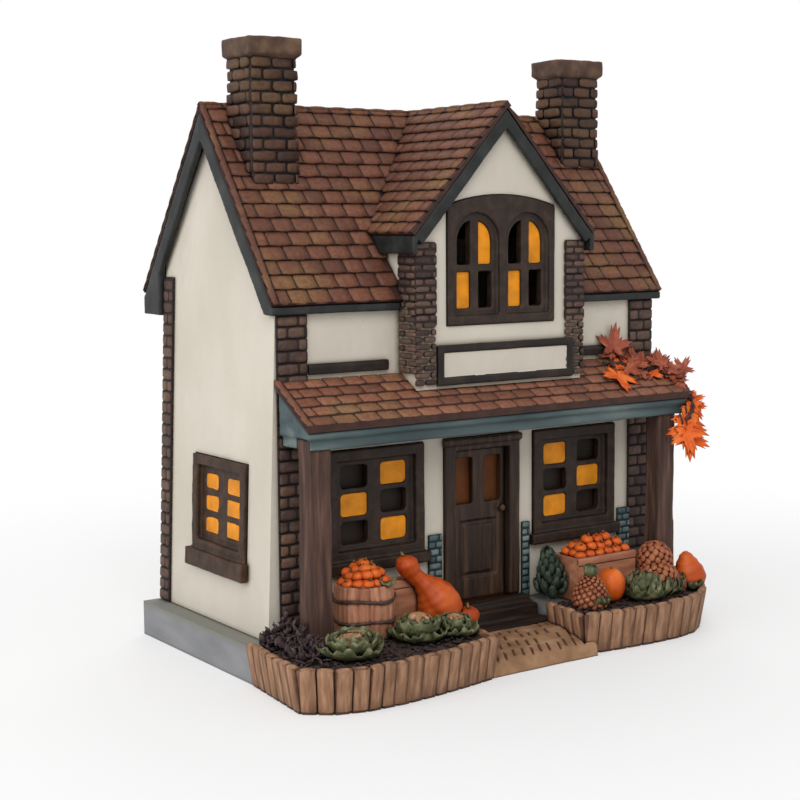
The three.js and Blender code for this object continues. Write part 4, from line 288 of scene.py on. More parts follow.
BOARD_GREEN = blotched("board_green", (38, 84, 54), (44, 94, 62), (52, 104, 70), 0.3, 0.4, relief=0.03)
SWITCH_WHITE = blotched("switch_white", (206, 206, 202), (216, 216, 212), (224, 224, 220), 0.1, 0.45,
                        relief=0.02)


def plaster():
    """Cream wall paint with faint trowel marks, with painted shade where it meets the trim and near the
    ground.
    """
    finish = Finish("wall_plaster", 0.7)
    value = finish.noise(0.03, (1, 1, 0.6), 4.0, 1.0)
    colour = finish.ramp(value, [(0.3, srgb(195, 187, 173)), (0.7, srgb(208, 200, 187))])
    specks = finish.band(finish.noise(0.5, (1, 1, 1), 2.0, 8.0), 0.72, 0.78)
    colour = finish.mix(colour, srgb(196, 185, 162), specks)
    # Painted shade: a duller colour in corners and near the ground, by ambient occlusion.
    colour = finish.mix(colour, srgb(146, 136, 116), finish.hollow_shade(2.4))
    finish.relief(finish.noise(0.22, (1, 1, 0.6), 5.0, 3.0), 0.35)
    return finish.done(colour)


def plinth_stone():
    """Grey stone with olive dust on its upper faces."""
    finish = Finish("plinth_stone", 0.75)
    value = finish.noise(0.12, (0.3, 0.3, 1), 5.0, 1.0)
    colour = finish.ramp(value, [(0.3, srgb(122, 123, 126)), (0.7, srgb(143, 143, 146))])
    top = finish.band(finish.axes()["Z"], 10.5 * MM, 13.2 * MM)
    colour = finish.mix(colour, srgb(124, 124, 116), top)
    # Painted shade: darker grey in grooves and corners, by ambient occlusion, partly standing for paint run
    # into the grooves.
    colour = finish.mix(colour, srgb(86, 86, 82), finish.hollow_shade(1.6))
    finish.relief(finish.noise(0.5, (1, 1, 1), 6.0, 2.0), 0.3)
    return finish.done(colour)


def amber(name, colour, glow, rough, dim=None):
    """Amber resin or film with a little emission: real light on the lamp, a painted glow on the panes and the
    film. The film is painted dark on both sides of the door, as painted shade in the deep window openings.
    """
    finish = Finish(name, rough)
    value = finish.noise(0.18, (1, 1, 1), 3.0, 2.0)
    deep = tuple(int(c * 0.82) for c in colour)
    shade = finish.ramp(value, [(0.3, srgb(*deep)), (0.7, srgb(*colour))])
    # Painted shade: behind the windows the film takes the dark colour, standing for the shade deep in the
    # openings.
    if dim:
        across = finish.axes()["X"]
        shade = finish.mix(srgb(*dim), shade, finish.band(across, -14 * MM, -10 * MM))
        shade = finish.mix(shade, srgb(*dim), finish.band(across, 20 * MM, 24 * MM))
    # Painted glow on the panes and the film; on the lamp this is its real light.
    finish.tree.links.new(shade, finish.shader.inputs["Emission Color"])
    finish.shader.inputs["Emission Strength"].default_value = glow
    finish.relief(finish.noise(0.4, (1, 1, 1), 3.0, 5.0), 0.08)
    return finish.done(shade)


WALL_PLASTER = plaster()
PLINTH_STONE = plinth_stone()
# The panes and the film glow with painted light; the lamp glows as a lamp.
AMBER_PANE = amber("amber_pane", (228, 142, 18), 0.1, 0.5)
AMBER_FILM = amber("amber_film", (104, 56, 16), 0.02, 0.6, dim=(30, 20, 12))
LAMP_RESIN = amber("lamp_resin", (236, 190, 96), 0.2, 0.2)


# Turning points and faces into pieces
class Clay:
    """The points, in millimetres, and the faces of one piece while it is being shaped."""

    def __init__(self):
        self.points = []
        self.faces = []
        self.skins = []

    def add(self, shape, matrix=None, skin=0):
        points, faces = shape
        base = len(self.points)
        for point in points:
            self.points.append(tuple(matrix @ Vector(point)) if matrix else tuple(point))
        self.faces += [tuple(base + i for i in face) for face in faces]
        self.skins += [skin] * len(faces)


def repaint(obj, looks):
    obj.data.materials.clear()
    for look in looks:
        obj.data.materials.append(look)


def rework(mesh, change):
    """Puts a mesh through one step of mesh editing."""
    work = bmesh.new()
    work.from_mesh(mesh)
    change(work)
    work.to_mesh(mesh)
    work.free()


def settle(obj, looks, stands_for=()):
    """Gives a finished mesh its looks and the body it rides on."""
    faces = obj.data.polygons
    skins = [face.material_index for face in faces]
    repaint(obj, looks)
    faces.foreach_set("material_index", skins)
    faces.foreach_set("use_smooth", [True] * len(faces))
    obj.data.update()
    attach(obj, HOUSE)
    if stands_for:
        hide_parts(*stands_for)


def shaped(name, clay, looks, stands_for=()):
    """A piece from clay, with its faces turned outwards."""
    mesh = bpy.data.meshes.new(name)
    mesh.from_pydata([at(*p) for p in clay.points], [], clay.faces)
    mesh.polygons.foreach_set("material_index", clay.skins)
    rework(mesh, lambda work: bmesh.ops.recalc_face_normals(work, faces=work.faces))
    settle(linked(name, mesh), looks, stands_for)


def baked(obj):
    """The object with the mesh that its modifiers make, which are then gone."""
    graph = bpy.context.evaluated_depsgraph_get()
    mesh = bpy.data.meshes.new_from_object(obj.evaluated_get(graph), preserve_all_data_layers=True,
                                           depsgraph=graph)
    obj.modifiers.clear()
    obj.data = mesh
    return obj


# Geometry nodes: units laid in courses, and an uneven carved skin
def geometry_tree(name, inputs):
    """A new tree, a function that adds a node and returns its outputs, and what the inputs give."""
    tree = bpy.data.node_groups.new(name, "GeometryNodeTree")
    for label, kind, value in inputs:
        socket = tree.interface.new_socket(label, in_out="INPUT", socket_type="NodeSocket" + kind)
        if value is not None:
            socket.default_value = value
    tree.interface.new_socket("Geometry", in_out="OUTPUT", socket_type="NodeSocketGeometry")

    def add(kind, sockets=(), **settings):
        return new_node(tree, kind, sockets, **settings).outputs

    return tree, add, add("NodeGroupInput")


def numbers(add, operation, *values):
    return add("ShaderNodeMath", enumerate(values), operation=operation)[0]


def vectors(add, operation, *values, scale=None):
    sockets = dict(enumerate(values))
    if scale is not None:
        sockets["Scale"] = scale
    return add("ShaderNodeVectorMath", sockets, operation=operation)[0]


def lumps(add, scale, detail):
    """Soft noise in three directions, from minus a half to a half."""
    noisy = add("ShaderNodeTexNoise", {"Scale": scale, "Detail": detail})["Color"]
    return vectors(add, "SUBTRACT", noisy, (0.5, 0.5, 0.5))


def finish_tree(add, shape, finish):
    """The end of every tree: real geometry, painted."""
    real = add("GeometryNodeRealizeInstances", {0: shape})[0]
    painted = add("GeometryNodeSetMaterial", {"Geometry": real, "Material": finish})[0]
    add("NodeGroupOutput", {0: painted})


def laid_units_tree():
    """Puts a rounded block on every point, sized and turned by the point, with an uneven cast surface."""
    tree, add, given = geometry_tree("laid_units", (
        ("Points", "Geometry", None),
        ("Rounding", "Float", 0.2),
        ("Unevenness", "Float", 0.0002),
        ("Turn Spread", "Float", 0.02),
        ("Seed", "Int", 1),
        ("Finish", "Material", None),
    ))
    cube = add("GeometryNodeMeshCube", {"Vertices X": 4, "Vertices Y": 4, "Vertices Z": 4})["Mesh"]
    place = add("GeometryNodeInputPosition")[0]
    core = numbers(add, "SUBTRACT", 0.5, given["Rounding"])
    reach = add("ShaderNodeCombineXYZ", {0: core, 1: core, 2: core})[0]
    capped = vectors(add, "MINIMUM", place, reach)
    capped = vectors(add, "MAXIMUM", capped, vectors(add, "SCALE", reach, scale=-1))
    outward = vectors(add, "NORMALIZE", vectors(add, "SUBTRACT", place, capped))
    rim = vectors(add, "SCALE", outward, scale=given["Rounding"])
    place = vectors(add, "ADD", capped, rim)
    rounded = add("GeometryNodeSetPosition", {"Geometry": cube, "Position": place})[0]

    def carried(name):
        return add("GeometryNodeInputNamedAttribute", {"Name": name}, data_type="FLOAT_VECTOR")["Attribute"]

    spread = {"Min": (-1, -1, -1), "Max": (1, 1, 1), "Seed": given["Seed"]}
    jitter = add("FunctionNodeRandomValue", spread, data_type="FLOAT_VECTOR")[0]
    turned = vectors(add, "ADD", carried("turn"), vectors(add, "SCALE", jitter, scale=given["Turn Spread"]))
    laid = add("GeometryNodeInstanceOnPoints", {
        "Points": given["Points"],
        "Instance": rounded,
        "Rotation": add("FunctionNodeEulerToRotation", {0: turned})[0],
        "Scale": carried("size"),
    })[0]
    tone = add("FunctionNodeRandomValue", {"Seed": given["Seed"]}, data_type="FLOAT")[1]
    toned = add("GeometryNodeStoreNamedAttribute", {"Geometry": laid, "Name": "tone", "Value": tone},
                data_type="FLOAT", domain="INSTANCE")[0]
    real = add("GeometryNodeRealizeInstances", {0: toned})[0]
    offset = vectors(add, "SCALE", lumps(add, 450, 2), scale=given["Unevenness"])
    uneven = add("GeometryNodeSetPosition", {"Geometry": real, "Offset": offset})[0]
    finish_tree(add, uneven, given["Finish"])
    return tree


def carved_skin_tree():
    """Moves a skin in and out by noise that can be drawn out one way, as a carver's knife leaves it."""
    tree, add, given = geometry_tree("carved_skin", (
        ("Skin", "Geometry", None),
        ("Depth", "Float", 0.0002),
        ("Grain", "Vector", (600, 600, 600)),
        ("Bend", "Float", 0.0003),
        ("Finish", "Material", None),
    ))
    drawn_out = vectors(add, "MULTIPLY", add("GeometryNodeInputPosition")[0], given["Grain"])
    grain = add("ShaderNodeTexNoise", {"Vector": drawn_out, "Scale": 1, "Detail": 3})["Fac"]
    depth = numbers(add, "MULTIPLY", numbers(add, "SUBTRACT", grain, 0.5), given["Depth"])
    carved = vectors(add, "SCALE", add("GeometryNodeInputNormal")[0], scale=depth)
    drift = vectors(add, "SCALE", lumps(add, 70, 1), scale=given["Bend"])
    offset = vectors(add, "ADD", carved, drift)
    moved = add("GeometryNodeSetPosition", {"Geometry": given["Skin"], "Offset": offset})[0]
    finish_tree(add, moved, given["Finish"])
    return tree


LAID_UNITS = laid_units_tree()
CARVED_SKIN = carved_skin_tree()


def grow(obj, name, tree, values):
    """Puts a tree on an object, with the tree's inputs set by their names."""
    modifier = obj.modifiers.new(name, "NODES")
    modifier.node_group = tree
    for item in tree.interface.items_tree:
        if getattr(item, "in_out", "") == "INPUT" and item.name in values:
            modifier[item.identifier] = values[item.name]


def facing(axis_x, axis_y, axis_z):
    """A turn whose columns are the unit's own X, Y and Z directions."""
    return Matrix((axis_x, axis_y, axis_z)).transposed()


def lay(name, units, look, rounding=0.2, uneven=0.25, turn_spread=0.015, seed=1):
    """One piece out of many blocks. A unit is its centre and size in mm, and its turn as a matrix."""
    mesh = bpy.data.meshes.new(name)
    mesh.from_pydata([at(*centre) for centre, size, turn in units], [], [])
    for attribute, values in (
        ("size", [s * MM for centre, size, turn in units for s in size]),
        ("turn", [a for centre, size, turn in units for a in turn.to_euler()]),
    ):
        mesh.attributes.new(attribute, "FLOAT_VECTOR", "POINT").data.foreach_set("vector", values)
    obj = linked(name, mesh)
    grow(obj, "laid", LAID_UNITS, {
        "Rounding": rounding,
        "Unevenness": uneven * MM,
        "Turn Spread": turn_spread,
        "Seed": seed,
        "Finish": look,
    })
    settle(baked(obj), [look])


def cast(node, look, slot, voxel, soften, depth, grain, bend, second=None, second_on=None, press=None):
    """A CAD node as the caster made it: edges rounded, the surface slightly uneven, perhaps in two paints."""
    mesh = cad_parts[node].data.copy()
    obj = linked(node + "_cast", mesh)
    rework(mesh, lambda work: bmesh.ops.remove_doubles(work, verts=work.verts, dist=1e-6))
    remesh = obj.modifiers.new("poured", "REMESH")
    remesh.mode = "VOXEL"
    remesh.voxel_size = voxel * MM
    smooth = obj.modifiers.new("rounded", "SMOOTH")
    smooth.factor = 0.5
    smooth.iterations = soften
    grow(obj, "carved", CARVED_SKIN, {
        "Depth": depth * MM,
        "Grain": [g / MM for g in grain],
        "Bend": bend * MM,
        "Finish": look,
    })
    baked(obj)
    if press:
        flat = np.zeros(len(obj.data.vertices) * 3)
        obj.data.vertices.foreach_get("co", flat)
        points = press((flat.reshape(-1, 3) - np.array(SHIFT)) / MM)
        obj.data.vertices.foreach_set("co", (points * MM + np.array(SHIFT)).ravel())
    if second:
        faces = obj.data.polygons
        faces.foreach_set("material_index", [int(second_on((face.center - SHIFT) / MM)) for face in faces])
    settle(obj, [look, second] if second else [look], (node,))


def keep(nodes, look):
    """CAD nodes whose shape is right, in a better finish."""
    for node in nodes.split():
        repaint(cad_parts[node], [look])


# Roofs
TILE_WIDTH = 9.1
TILE_GAP = 0.3
TILE_THICKNESS = 1.5
TILE_LIFT = 0.28
TILE_LAP = 0.9
RIDGE_STRIP = 2.6
STEP = 0.9
COURSES = 14
VERGE = 2.6
CAP_LENGTH = 9.4
CAP_WIDTH = 3.4

MAIN_RIDGE = (5.3, 207.3)
MAIN_FRONT_EAVE = (-47.0, 134.5)
MAIN_BACK_EAVE = (56.5, 136.5)
MAIN_HALF = 92.9
BAY_MIDDLE = 2.6
DORMER_TOP = 207.3
DORMER_HALF = 44
DORMER_FOOT = 159.1
DORMER_SLOPE = (DORMER_TOP - DORMER_FOOT) / DORMER_HALF
DORMER_FRONT = -57.6
DORMER_RIDGE = (BAY_MIDDLE, DORMER_TOP)
DORMER_EAVES = [(BAY_MIDDLE + side * DORMER_HALF, DORMER_FOOT) for side in (-1, 1)]
PORCH_RIDGE = (-43.3, 107.5)
PORCH_EAVE = (-65.5, 93.6)
PORCH_HALF = 91


def slope_axes(ridge, eave):
    """A slope's length, its direction down and its outward normal, in the plane across the ridge."""
    run = (eave[0] - ridge[0], eave[1] - ridge[1])
    length = math.hypot(*run)
    side = math.copysign(1, run[0])
    return length, Vector((0, *run)) / length, Vector((0, -run[1] * side, run[0] * side)) / length


def slope_unit(centre, size, axes, along):
    """A unit of a slope whose ridge runs along X, or along Y with the two axes swapped."""
    if along == "y":
        centre, *axes = (Vector((v.y, v.x, v.z)) for v in (centre, *axes))
    if axes[0].cross(axes[1]).dot(axes[2]) < 0:
        axes = (-axes[0], axes[1], axes[2])
    return tuple(centre), size, facing(*axes)


def slope_units(ridge, eave, courses, low, high, along, keep_tile, rng, ridge_strip=RIDGE_STRIP,
                width=TILE_WIDTH):
    """The tiles of one slope, in courses from ridge to eave, where keep_tile says yes to their place."""
    length, down, out = slope_axes(ridge, eave)
    units = []
    start = ridge_strip / length
    for course in range(courses):
        upper, lower = ((start + (1 - start) * end / courses) * length for end in (course, course + 1))
        tilt = math.atan(STEP / (lower - upper))
        axis_down = down * math.cos(tilt) + out * math.sin(tilt)
        axis_out = out * math.cos(tilt) - down * math.sin(tilt)
        level = Vector((0, *ridge)) + down * ((upper + lower) / 2 - 0.35)
        level -= out * (STEP / 2 - TILE_LIFT + TILE_THICKNESS / 2 - 0.1)
        position = low - (course % 2) * 0.5 * width
        while position < high - 0.6:
            wide = width * rng.uniform(0.92, 1.08)
            left, right = max(position, low), min(position + wide, high)
            position += wide
            if right - left < 2.2:
                continue
            centre = Vector(((left + right) / 2, 0, 0)) + level
            size = (right - left - TILE_GAP, lower - upper + TILE_LAP, TILE_THICKNESS * rng.uniform(0.9, 1.1))
            unit = slope_unit(centre, size, (Vector((1, 0, 0)), axis_down, axis_out), along)
            if keep_tile(Vector(unit[0])):
                units.append(unit)
    return units


def dormer_height(x):
    return DORMER_TOP - DORMER_SLOPE * abs(x - BAY_MIDDLE)


def main_front_y(z):
    """Where the front slope of the main roof is at a level."""
    share = (MAIN_RIDGE[1] - z) / (MAIN_RIDGE[1] - MAIN_FRONT_EAVE[1])
    return MAIN_RIDGE[0] + share * (MAIN_FRONT_EAVE[0] - MAIN_RIDGE[0])


def build_roofs():
    rng = random.Random(11)
    inner = MAIN_HALF - VERGE
    main_tiles = []
    for eave, keep_tile in (
        (MAIN_FRONT_EAVE,
         lambda c: abs(c.x - BAY_MIDDLE) > DORMER_HALF - 3 or c.z > dormer_height(c.x) - 1.2),
        (MAIN_BACK_EAVE, lambda c: True),
    ):
        main_tiles += slope_units(MAIN_RIDGE, eave, COURSES, -inner, inner, "x", keep_tile, rng)
    lay("main_roof_tiles", main_tiles, ROOF_TILE, rounding=0.1, seed=3)
    dormer_tiles = []
    for eave in DORMER_EAVES:
        dormer_tiles += slope_units(DORMER_RIDGE, eave, 12, DORMER_FRONT + 1.6, MAIN_RIDGE[0] + 1, "y",
                                    lambda c: c.y < main_front_y(c.z) + 2.5, rng)
    lay("dormer_roof_tiles", dormer_tiles, ROOF_TILE, rounding=0.1, seed=4)
    porch_tiles = slope_units(PORCH_RIDGE, PORCH_EAVE, 5, VERGE - PORCH_HALF, PORCH_HALF - VERGE, "x",
                              lambda c: True, rng, ridge_strip=0.0, width=8.9)
    lay("porch_roof_tiles", porch_tiles, PORCH_TILE, rounding=0.1, seed=5)

    for name, look, half, ridge, eaves in (
        ("main_verge_strips", ROOF_TILE, MAIN_HALF, MAIN_RIDGE, (MAIN_FRONT_EAVE, MAIN_BACK_EAVE)),
        ("porch_verge_strips", PORCH_TILE, PORCH_HALF, PORCH_RIDGE, (PORCH_EAVE,)),
    ):
        strips = Clay()
        for sign in (-1, 1):
            for eave in eaves:
                strips.add(verge_strip(ridge, eave, sign * half, sign * (half - VERGE + 0.3)))
        shaped(name, strips, [look])

    for name, position, end, ridge, eaves, along, seed in (
        ("main_ridge_caps", -MAIN_HALF, MAIN_HALF - 2, MAIN_RIDGE, (MAIN_FRONT_EAVE, MAIN_BACK_EAVE), "x", 6),
        ("dormer_ridge_caps", DORMER_FRONT, MAIN_RIDGE[0] - 3, DORMER_RIDGE, DORMER_EAVES, "y", 7),
    ):
        caps = []
        while position < end:
            caps += [ridge_cap(position + CAP_LENGTH / 2, ridge, eave, along) for eave in eaves]
            position += CAP_LENGTH
        lay(name, caps, ROOF_TILE, rounding=0.3, seed=seed)
    keep("main_roof dormer_roof porch_roof", ROOF_UNDER)


def ridge_cap(middle, ridge, eave, along):
    """Half of a ridge cap, lying on one side of the ridge."""
    _, down, out = slope_axes(ridge, eave)
    centre = Vector((middle, *ridge)) + down * (CAP_WIDTH / 2 - 0.5) - out * 0.55
    return slope_unit(centre, (CAP_LENGTH - 0.4, CAP_WIDTH, 1.5), (Vector((1, 0, 0)), down, out), along)


def verge_strip(ridge, eave, x_out, x_in):
    """A smooth band of clay along the edge of a slope, slightly proud of the tiles."""
    length, down, out = slope_axes(ridge, eave)
    points = []
    steps = int(length / 1.2)
    profile = [(0.0, -1.6), (0.0, -0.1), (0.25, 0.35), (0.75, 0.35), (1.0, 0.0), (1.0, -1.6)]
    for i in range(steps + 1):
        d = length * i / steps
        wave = 0.16 * math.sin(d * 1.05)
        for across, lift in profile:
            x = x_out + (x_in - x_out) * across
            points.append(tuple(Vector((x, *ridge)) + down * d + out * (lift + wave * (lift > -1))))
    return points, ring_faces(steps + 1, len(profile)) + end_faces(steps + 1, len(profile))


def ring_faces(rings, sides, closed=False):
    """Faces between rings of points, and from the last ring to the first where they close."""
    faces = []
    for i in range(rings if closed else rings - 1):
        low, high = i * sides, (i + 1) % rings * sides
        for k in range(sides):
            n = (k + 1) % sides
            faces.append((low + k, low + n, high + n, high + k))
    return faces


def end_faces(rings, sides):
    last = (rings - 1) * sides
    return [tuple(reversed(range(sides))), tuple(range(last, last + sides))]


# Brickwork
COURSE = 4.35
BAY_COURSE = 2.65
CHIMNEY_COURSE = 4.22
LOW_COURSE = 2.75
BRICK_LENGTH = 8.3
BRICK_THICKNESS = 1.7
BRICK_PROUD = 0.32
QUOIN_PROUD = 1.1
JOINT = 0.55
BAY_BRICK_FOOT = {"front": 100, "left": 107, "right": 107}
PORCH_SLOPE = 0.626
WALL_FOOT, WALL_TOP = 13.4, 134.5
WALL_FOOT_HALF, WALL_TOP_HALF = 94.9, 90.0
WALL_LEAN = (WALL_FOOT_HALF - WALL_TOP_HALF) / (WALL_TOP - WALL_FOOT)
CHIMNEYS = (("chimney_left", -73.0, -7.0, 11), ("chimney_right", 79.7, -1.9, 13))
CHIMNEY_HALF = (9.6, 8.2)
CHIMNEY_FOOT, CHIMNEY_NECK = 168.0, 222.9
CHIMNEY_SPREAD = 0.6
CAP_FOOT = 222.6
LOW_WALLS = ((-78.6, -71.8), (-24.8, -18.2), (20.8, 25.0), (71.8, 78.6))
LOW_WALL_FACE, LOW_WALL_FOOT, LOW_WALL_TOP = -44.1, 14.2, 44.4
MORTAR_DEPTH = (-44.0, -42.8)


def upright_side(low, high, side):
    """One side of a box, as its lower left corner, its direction, its normal and its width."""
    wide, deep = high[0] - low[0], high[1] - low[1]
    return {
        "front": ((low[0], low[1], 0), (1, 0, 0), (0, -1, 0), wide),
        "back": ((high[0], high[1], 0), (-1, 0, 0), (0, 1, 0), wide),
        "left": ((low[0], high[1], 0), (0, -1, 0), (-1, 0, 0), deep),
        "right": ((high[0], low[1], 0), (0, 1, 0), (1, 0, 0), deep),
    }[side]


def face_bricks(face, z0, z1, course, rng, length=BRICK_LENGTH, lean=None, proud=0.0):
    """Bricks on one upright side, leaning by lean(z) and each standing out by some of proud."""
    start, along, out, width = face
    along, out = Vector(along), Vector(out)
    count = max(1, round((z1 - z0) / course))
    high = (z1 - z0) / count
    units = []
    for i in range(count):
        position = -(0.5 * length if i % 2 else rng.uniform(0.0, 0.12) * length)
        z = z0 + high * (i + 0.5)
        while position < width - 0.8:
            wide = length * rng.uniform(0.9, 1.1)
            left, right = max(position, 0.0), min(position + wide, width)
            position += wide
            if right - left < 1.3:
                continue
            centre = Vector(start) + along * ((left + right) / 2) + out * (BRICK_PROUD - BRICK_THICKNESS / 2)
            centre.z = z
            if lean:
                centre += lean(z)
            if proud:
                centre += out * rng.uniform(0.3, 1.1) * proud
            size = (right - left - JOINT, BRICK_THICKNESS, high - JOINT)
            units.append((tuple(centre), size, facing(along, -out, Vector((0, 0, 1)))))
    return units


def wall_half(z):
    """Half the width of the house at a level: its gable walls draw in upwards."""
    return WALL_FOOT_HALF - WALL_LEAN * (z - WALL_FOOT)


def above_main_roof(unit):
    _, y, z = unit[0]
    eave = MAIN_FRONT_EAVE if y < MAIN_RIDGE[0] else MAIN_BACK_EAVE
    share = (y - MAIN_RIDGE[0]) / (eave[0] - MAIN_RIDGE[0])
    return z > MAIN_RIDGE[1] + share * (eave[1] - MAIN_RIDGE[1]) - 1.5


def above_porch_roof(unit):
    _, y, z = unit[0]
    return z > PORCH_RIDGE[1] + PORCH_SLOPE * (y - PORCH_RIDGE[0]) + 1.4


def build_brickwork():
    rng = random.Random(5)
    quoins = []
    for node in ("quoin_front_left", "quoin_front_right"):
        low, high = node_box(node)
        quoins += face_bricks(upright_side(low, high, "front"), low.z, high.z, COURSE, rng)
    for sign, side, node in ((-1, "left", "quoin_back_left"), (1, "right", "quoin_back_right")):
        low, high = node_box(node)
        low.x = high.x = sign * (wall_half(low.z) + QUOIN_PROUD)
        quoins += face_bricks(upright_side(low, high, side), low.z, high.z - 1, COURSE, rng,
                              lean=lambda z: Vector((sign * (wall_half(z) - wall_half(low.z)), 0, 0)))
    lay("corner_bricks", quoins, PURPLE_BRICK, rounding=0.2, seed=8)

    bay = []
    for outer, node in (("left", "quoin_bay_left"), ("right", "quoin_bay_right")):
        low, high = node_box(node)
        for side, length in (("front", 7.6), (outer, 8)):
            face = upright_side(low, high, side)
            bay += face_bricks(face, BAY_BRICK_FOOT[side], high.z, BAY_COURSE, rng, length)
    bay = [unit for unit in bay if above_porch_roof(unit)]
    lay("bay_bricks", bay, PURPLE_BRICK, rounding=0.26, uneven=0.3, seed=9)
    keep("quoin_front_left quoin_front_right quoin_back_left quoin_back_right quoin_bay_left quoin_bay_right",
         BRICK_UNDER)

    for node, x, y, seed in CHIMNEYS:
        half_x, half_y = CHIMNEY_HALF
        low, high = (x - half_x, y - half_y), (x + half_x, y + half_y)
        bricks = []
        for side in ("front", "back", "left", "right"):
            face = upright_side(low, high, side)
            bricks += face_bricks(face, CHIMNEY_FOOT, CHIMNEY_NECK, CHIMNEY_COURSE, rng, length=9.6,
                                  lean=lambda z: chimney_lean(face[2], z), proud=0.9)
        bricks = [unit for unit in bricks if above_main_roof(unit)]
        lay(node + "_bricks", bricks, CHIMNEY_BRICK, 0.17, 0.5, 0.045, seed)
        cast(node, BRICK_UNDER, "chimney", 0.7, 2, 0.5, (0.35, 0.35, 0.35), 0.9, CHIMNEY_CAP,
             lambda c: c.z > CAP_FOOT)

    teal = []
    mortar = Clay()
    for left, right in LOW_WALLS:
        face = upright_side((left, LOW_WALL_FACE), (right, LOW_WALL_FACE), "front")
        teal += face_bricks(face, LOW_WALL_FOOT, LOW_WALL_TOP, LOW_COURSE, rng, length=5.6)
        mortar.add(box_shape(left + 0.2, right - 0.2, *MORTAR_DEPTH, LOW_WALL_FOOT - 0.2,
                             LOW_WALL_TOP - 0.2, cut=0.2))
    lay("low_wall_bricks", teal, TEAL_BRICK, rounding=0.2, uneven=0.3, turn_spread=0.02, seed=15)
    shaped("low_wall_mortar", mortar, [TEAL_MORTAR])


def chimney_lean(out, z):
    """The chimneys spread towards their foot."""
    return Vector(out) * CHIMNEY_SPREAD * (CHIMNEY_NECK - z) / (CHIMNEY_NECK - CHIMNEY_FOOT)


# Timber, windows and door
SIGN_LEFT, SIGN_RIGHT, SIGN_FOOT, SIGN_TOP, SIGN_DEPTH = -25.2, 34.2, 105.5, 114.4, -55.3


def on_sign_face(centre):
    """Whether a face is on the blank board inside the sign's dark frame."""
    return SIGN_LEFT < centre.x < SIGN_RIGHT and SIGN_FOOT < centre.z < SIGN_TOP and centre.y > SIGN_DEPTH


EVEN = (0.4, 0.4, 0.4)
CALM = (0.3, 0.3, 0.3)

# Nodes, look, slot, voxel, soften, depth, grain and bend, all lengths in millimetres
OPENING_CASTS = (
    ("window_front_left window_front_right", FRAME_WOOD, "frame", 0.42, 2, 0.22, EVEN, 0.35),
    ("window_bay", FRAME_WOOD, "frame", 0.42, 2, 0.18, EVEN, 0.3),
    ("window_side_left window_side_right", SIDE_FRAME, "frame", 0.45, 3, 0.4, CALM, 1.0),
    ("door_frame", DOOR_WOOD, "frame", 0.5, 2, 0.3, (0.5, 0.5, 0.12), 0.5),
    ("door_leaf", DOOR_WOOD, "timber", 0.42, 2, 0.22, (0.6, 0.6, 0.1), 0.3),
    ("door_steps", STEP_PAINT, "timber", 0.6, 2, 0.3, (0.1, 0.5, 0.5), 0.5),
)
TIMBER_CASTS = (
    ("roof_trim", DARK_TRIM, "trim", 0.6, 3, 0.2, CALM, 0.6),
    ("dormer_board", DARK_TRIM, "trim", 0.45, 3, 0.2, CALM, 0.5),
    ("porch_beam", BLUE_BEAM, "beam", 0.6, 2, 0.25, (0.08, 0.5, 0.5), 0.6),
    ("porch_post_left porch_post_right", POST_WOOD, "timber", 0.45, 2, 0.7, (0.45, 0.45, 0.035), 0.8),
    ("sign_board", SIGN_TRIM, "trim", 0.4, 2, 0.15, CALM, 0.4, WALL_PLASTER, on_sign_face),
    ("wall_rail_left wall_rail_right", SIGN_TRIM, "trim", 0.4, 2, 0.2, (0.1, 0.4, 0.4), 0.4),
)


def build_casts(rows):
    for nodes, *how in rows:
        for node in nodes.split():
            cast(node, *how)


def box_shape(x0, x1, y0, y1, z0, z1, cut=0.5):
    """A block with its edges cut off, for panes and small boards."""
    cube = bmesh.new()
    bmesh.ops.create_cube(cube, size=1)
    for vert in cube.verts:
        vert.co = [(a + b) / 2 + c * (b - a) for a, b, c in zip((x0, y0, z0), (x1, y1, z1), vert.co)]
    bmesh.ops.bevel(cube, geom=cube.edges, offset=cut, segments=2, profile=0.6, affect="EDGES")
    cube.verts.index_update()
    points = [tuple(v.co) for v in cube.verts]
    faces = [tuple(v.index for v in f.verts) for f in cube.faces]
    cube.free()
    return points, faces


FRONT_WINDOW = 48.3
FRONT_COLUMN, FRONT_ROW, FRONT_PANE_FOOT = 17.5, 10.5, 44.7
FRONT_PANE = (11.7, 8.4)
FRONT_PANE_DEPTH = (-41.4, -40.2)
SIDE_MIDDLE_Y, SIDE_FOOT, SIDE_HALF_HIGH = -5.9, 39, 18.3
SIDE_COLUMN, SIDE_ROW, SIDE_PANE_FOOT = 16.5, 4.93 + 3.3, 8.1
SIDE_PANE_HALF, SIDE_PANE_DEPTH = 4.9, (0.9, 2.2)
BAY_CASEMENT, BAY_COLUMN = 12.2, 5.4
BAY_PANES = ((130.4, 144.1), (146.7, 162.6))
BAY_PANE_HALF, BAY_PANE_DEPTH = 3.7, (-52.0, -51.2)


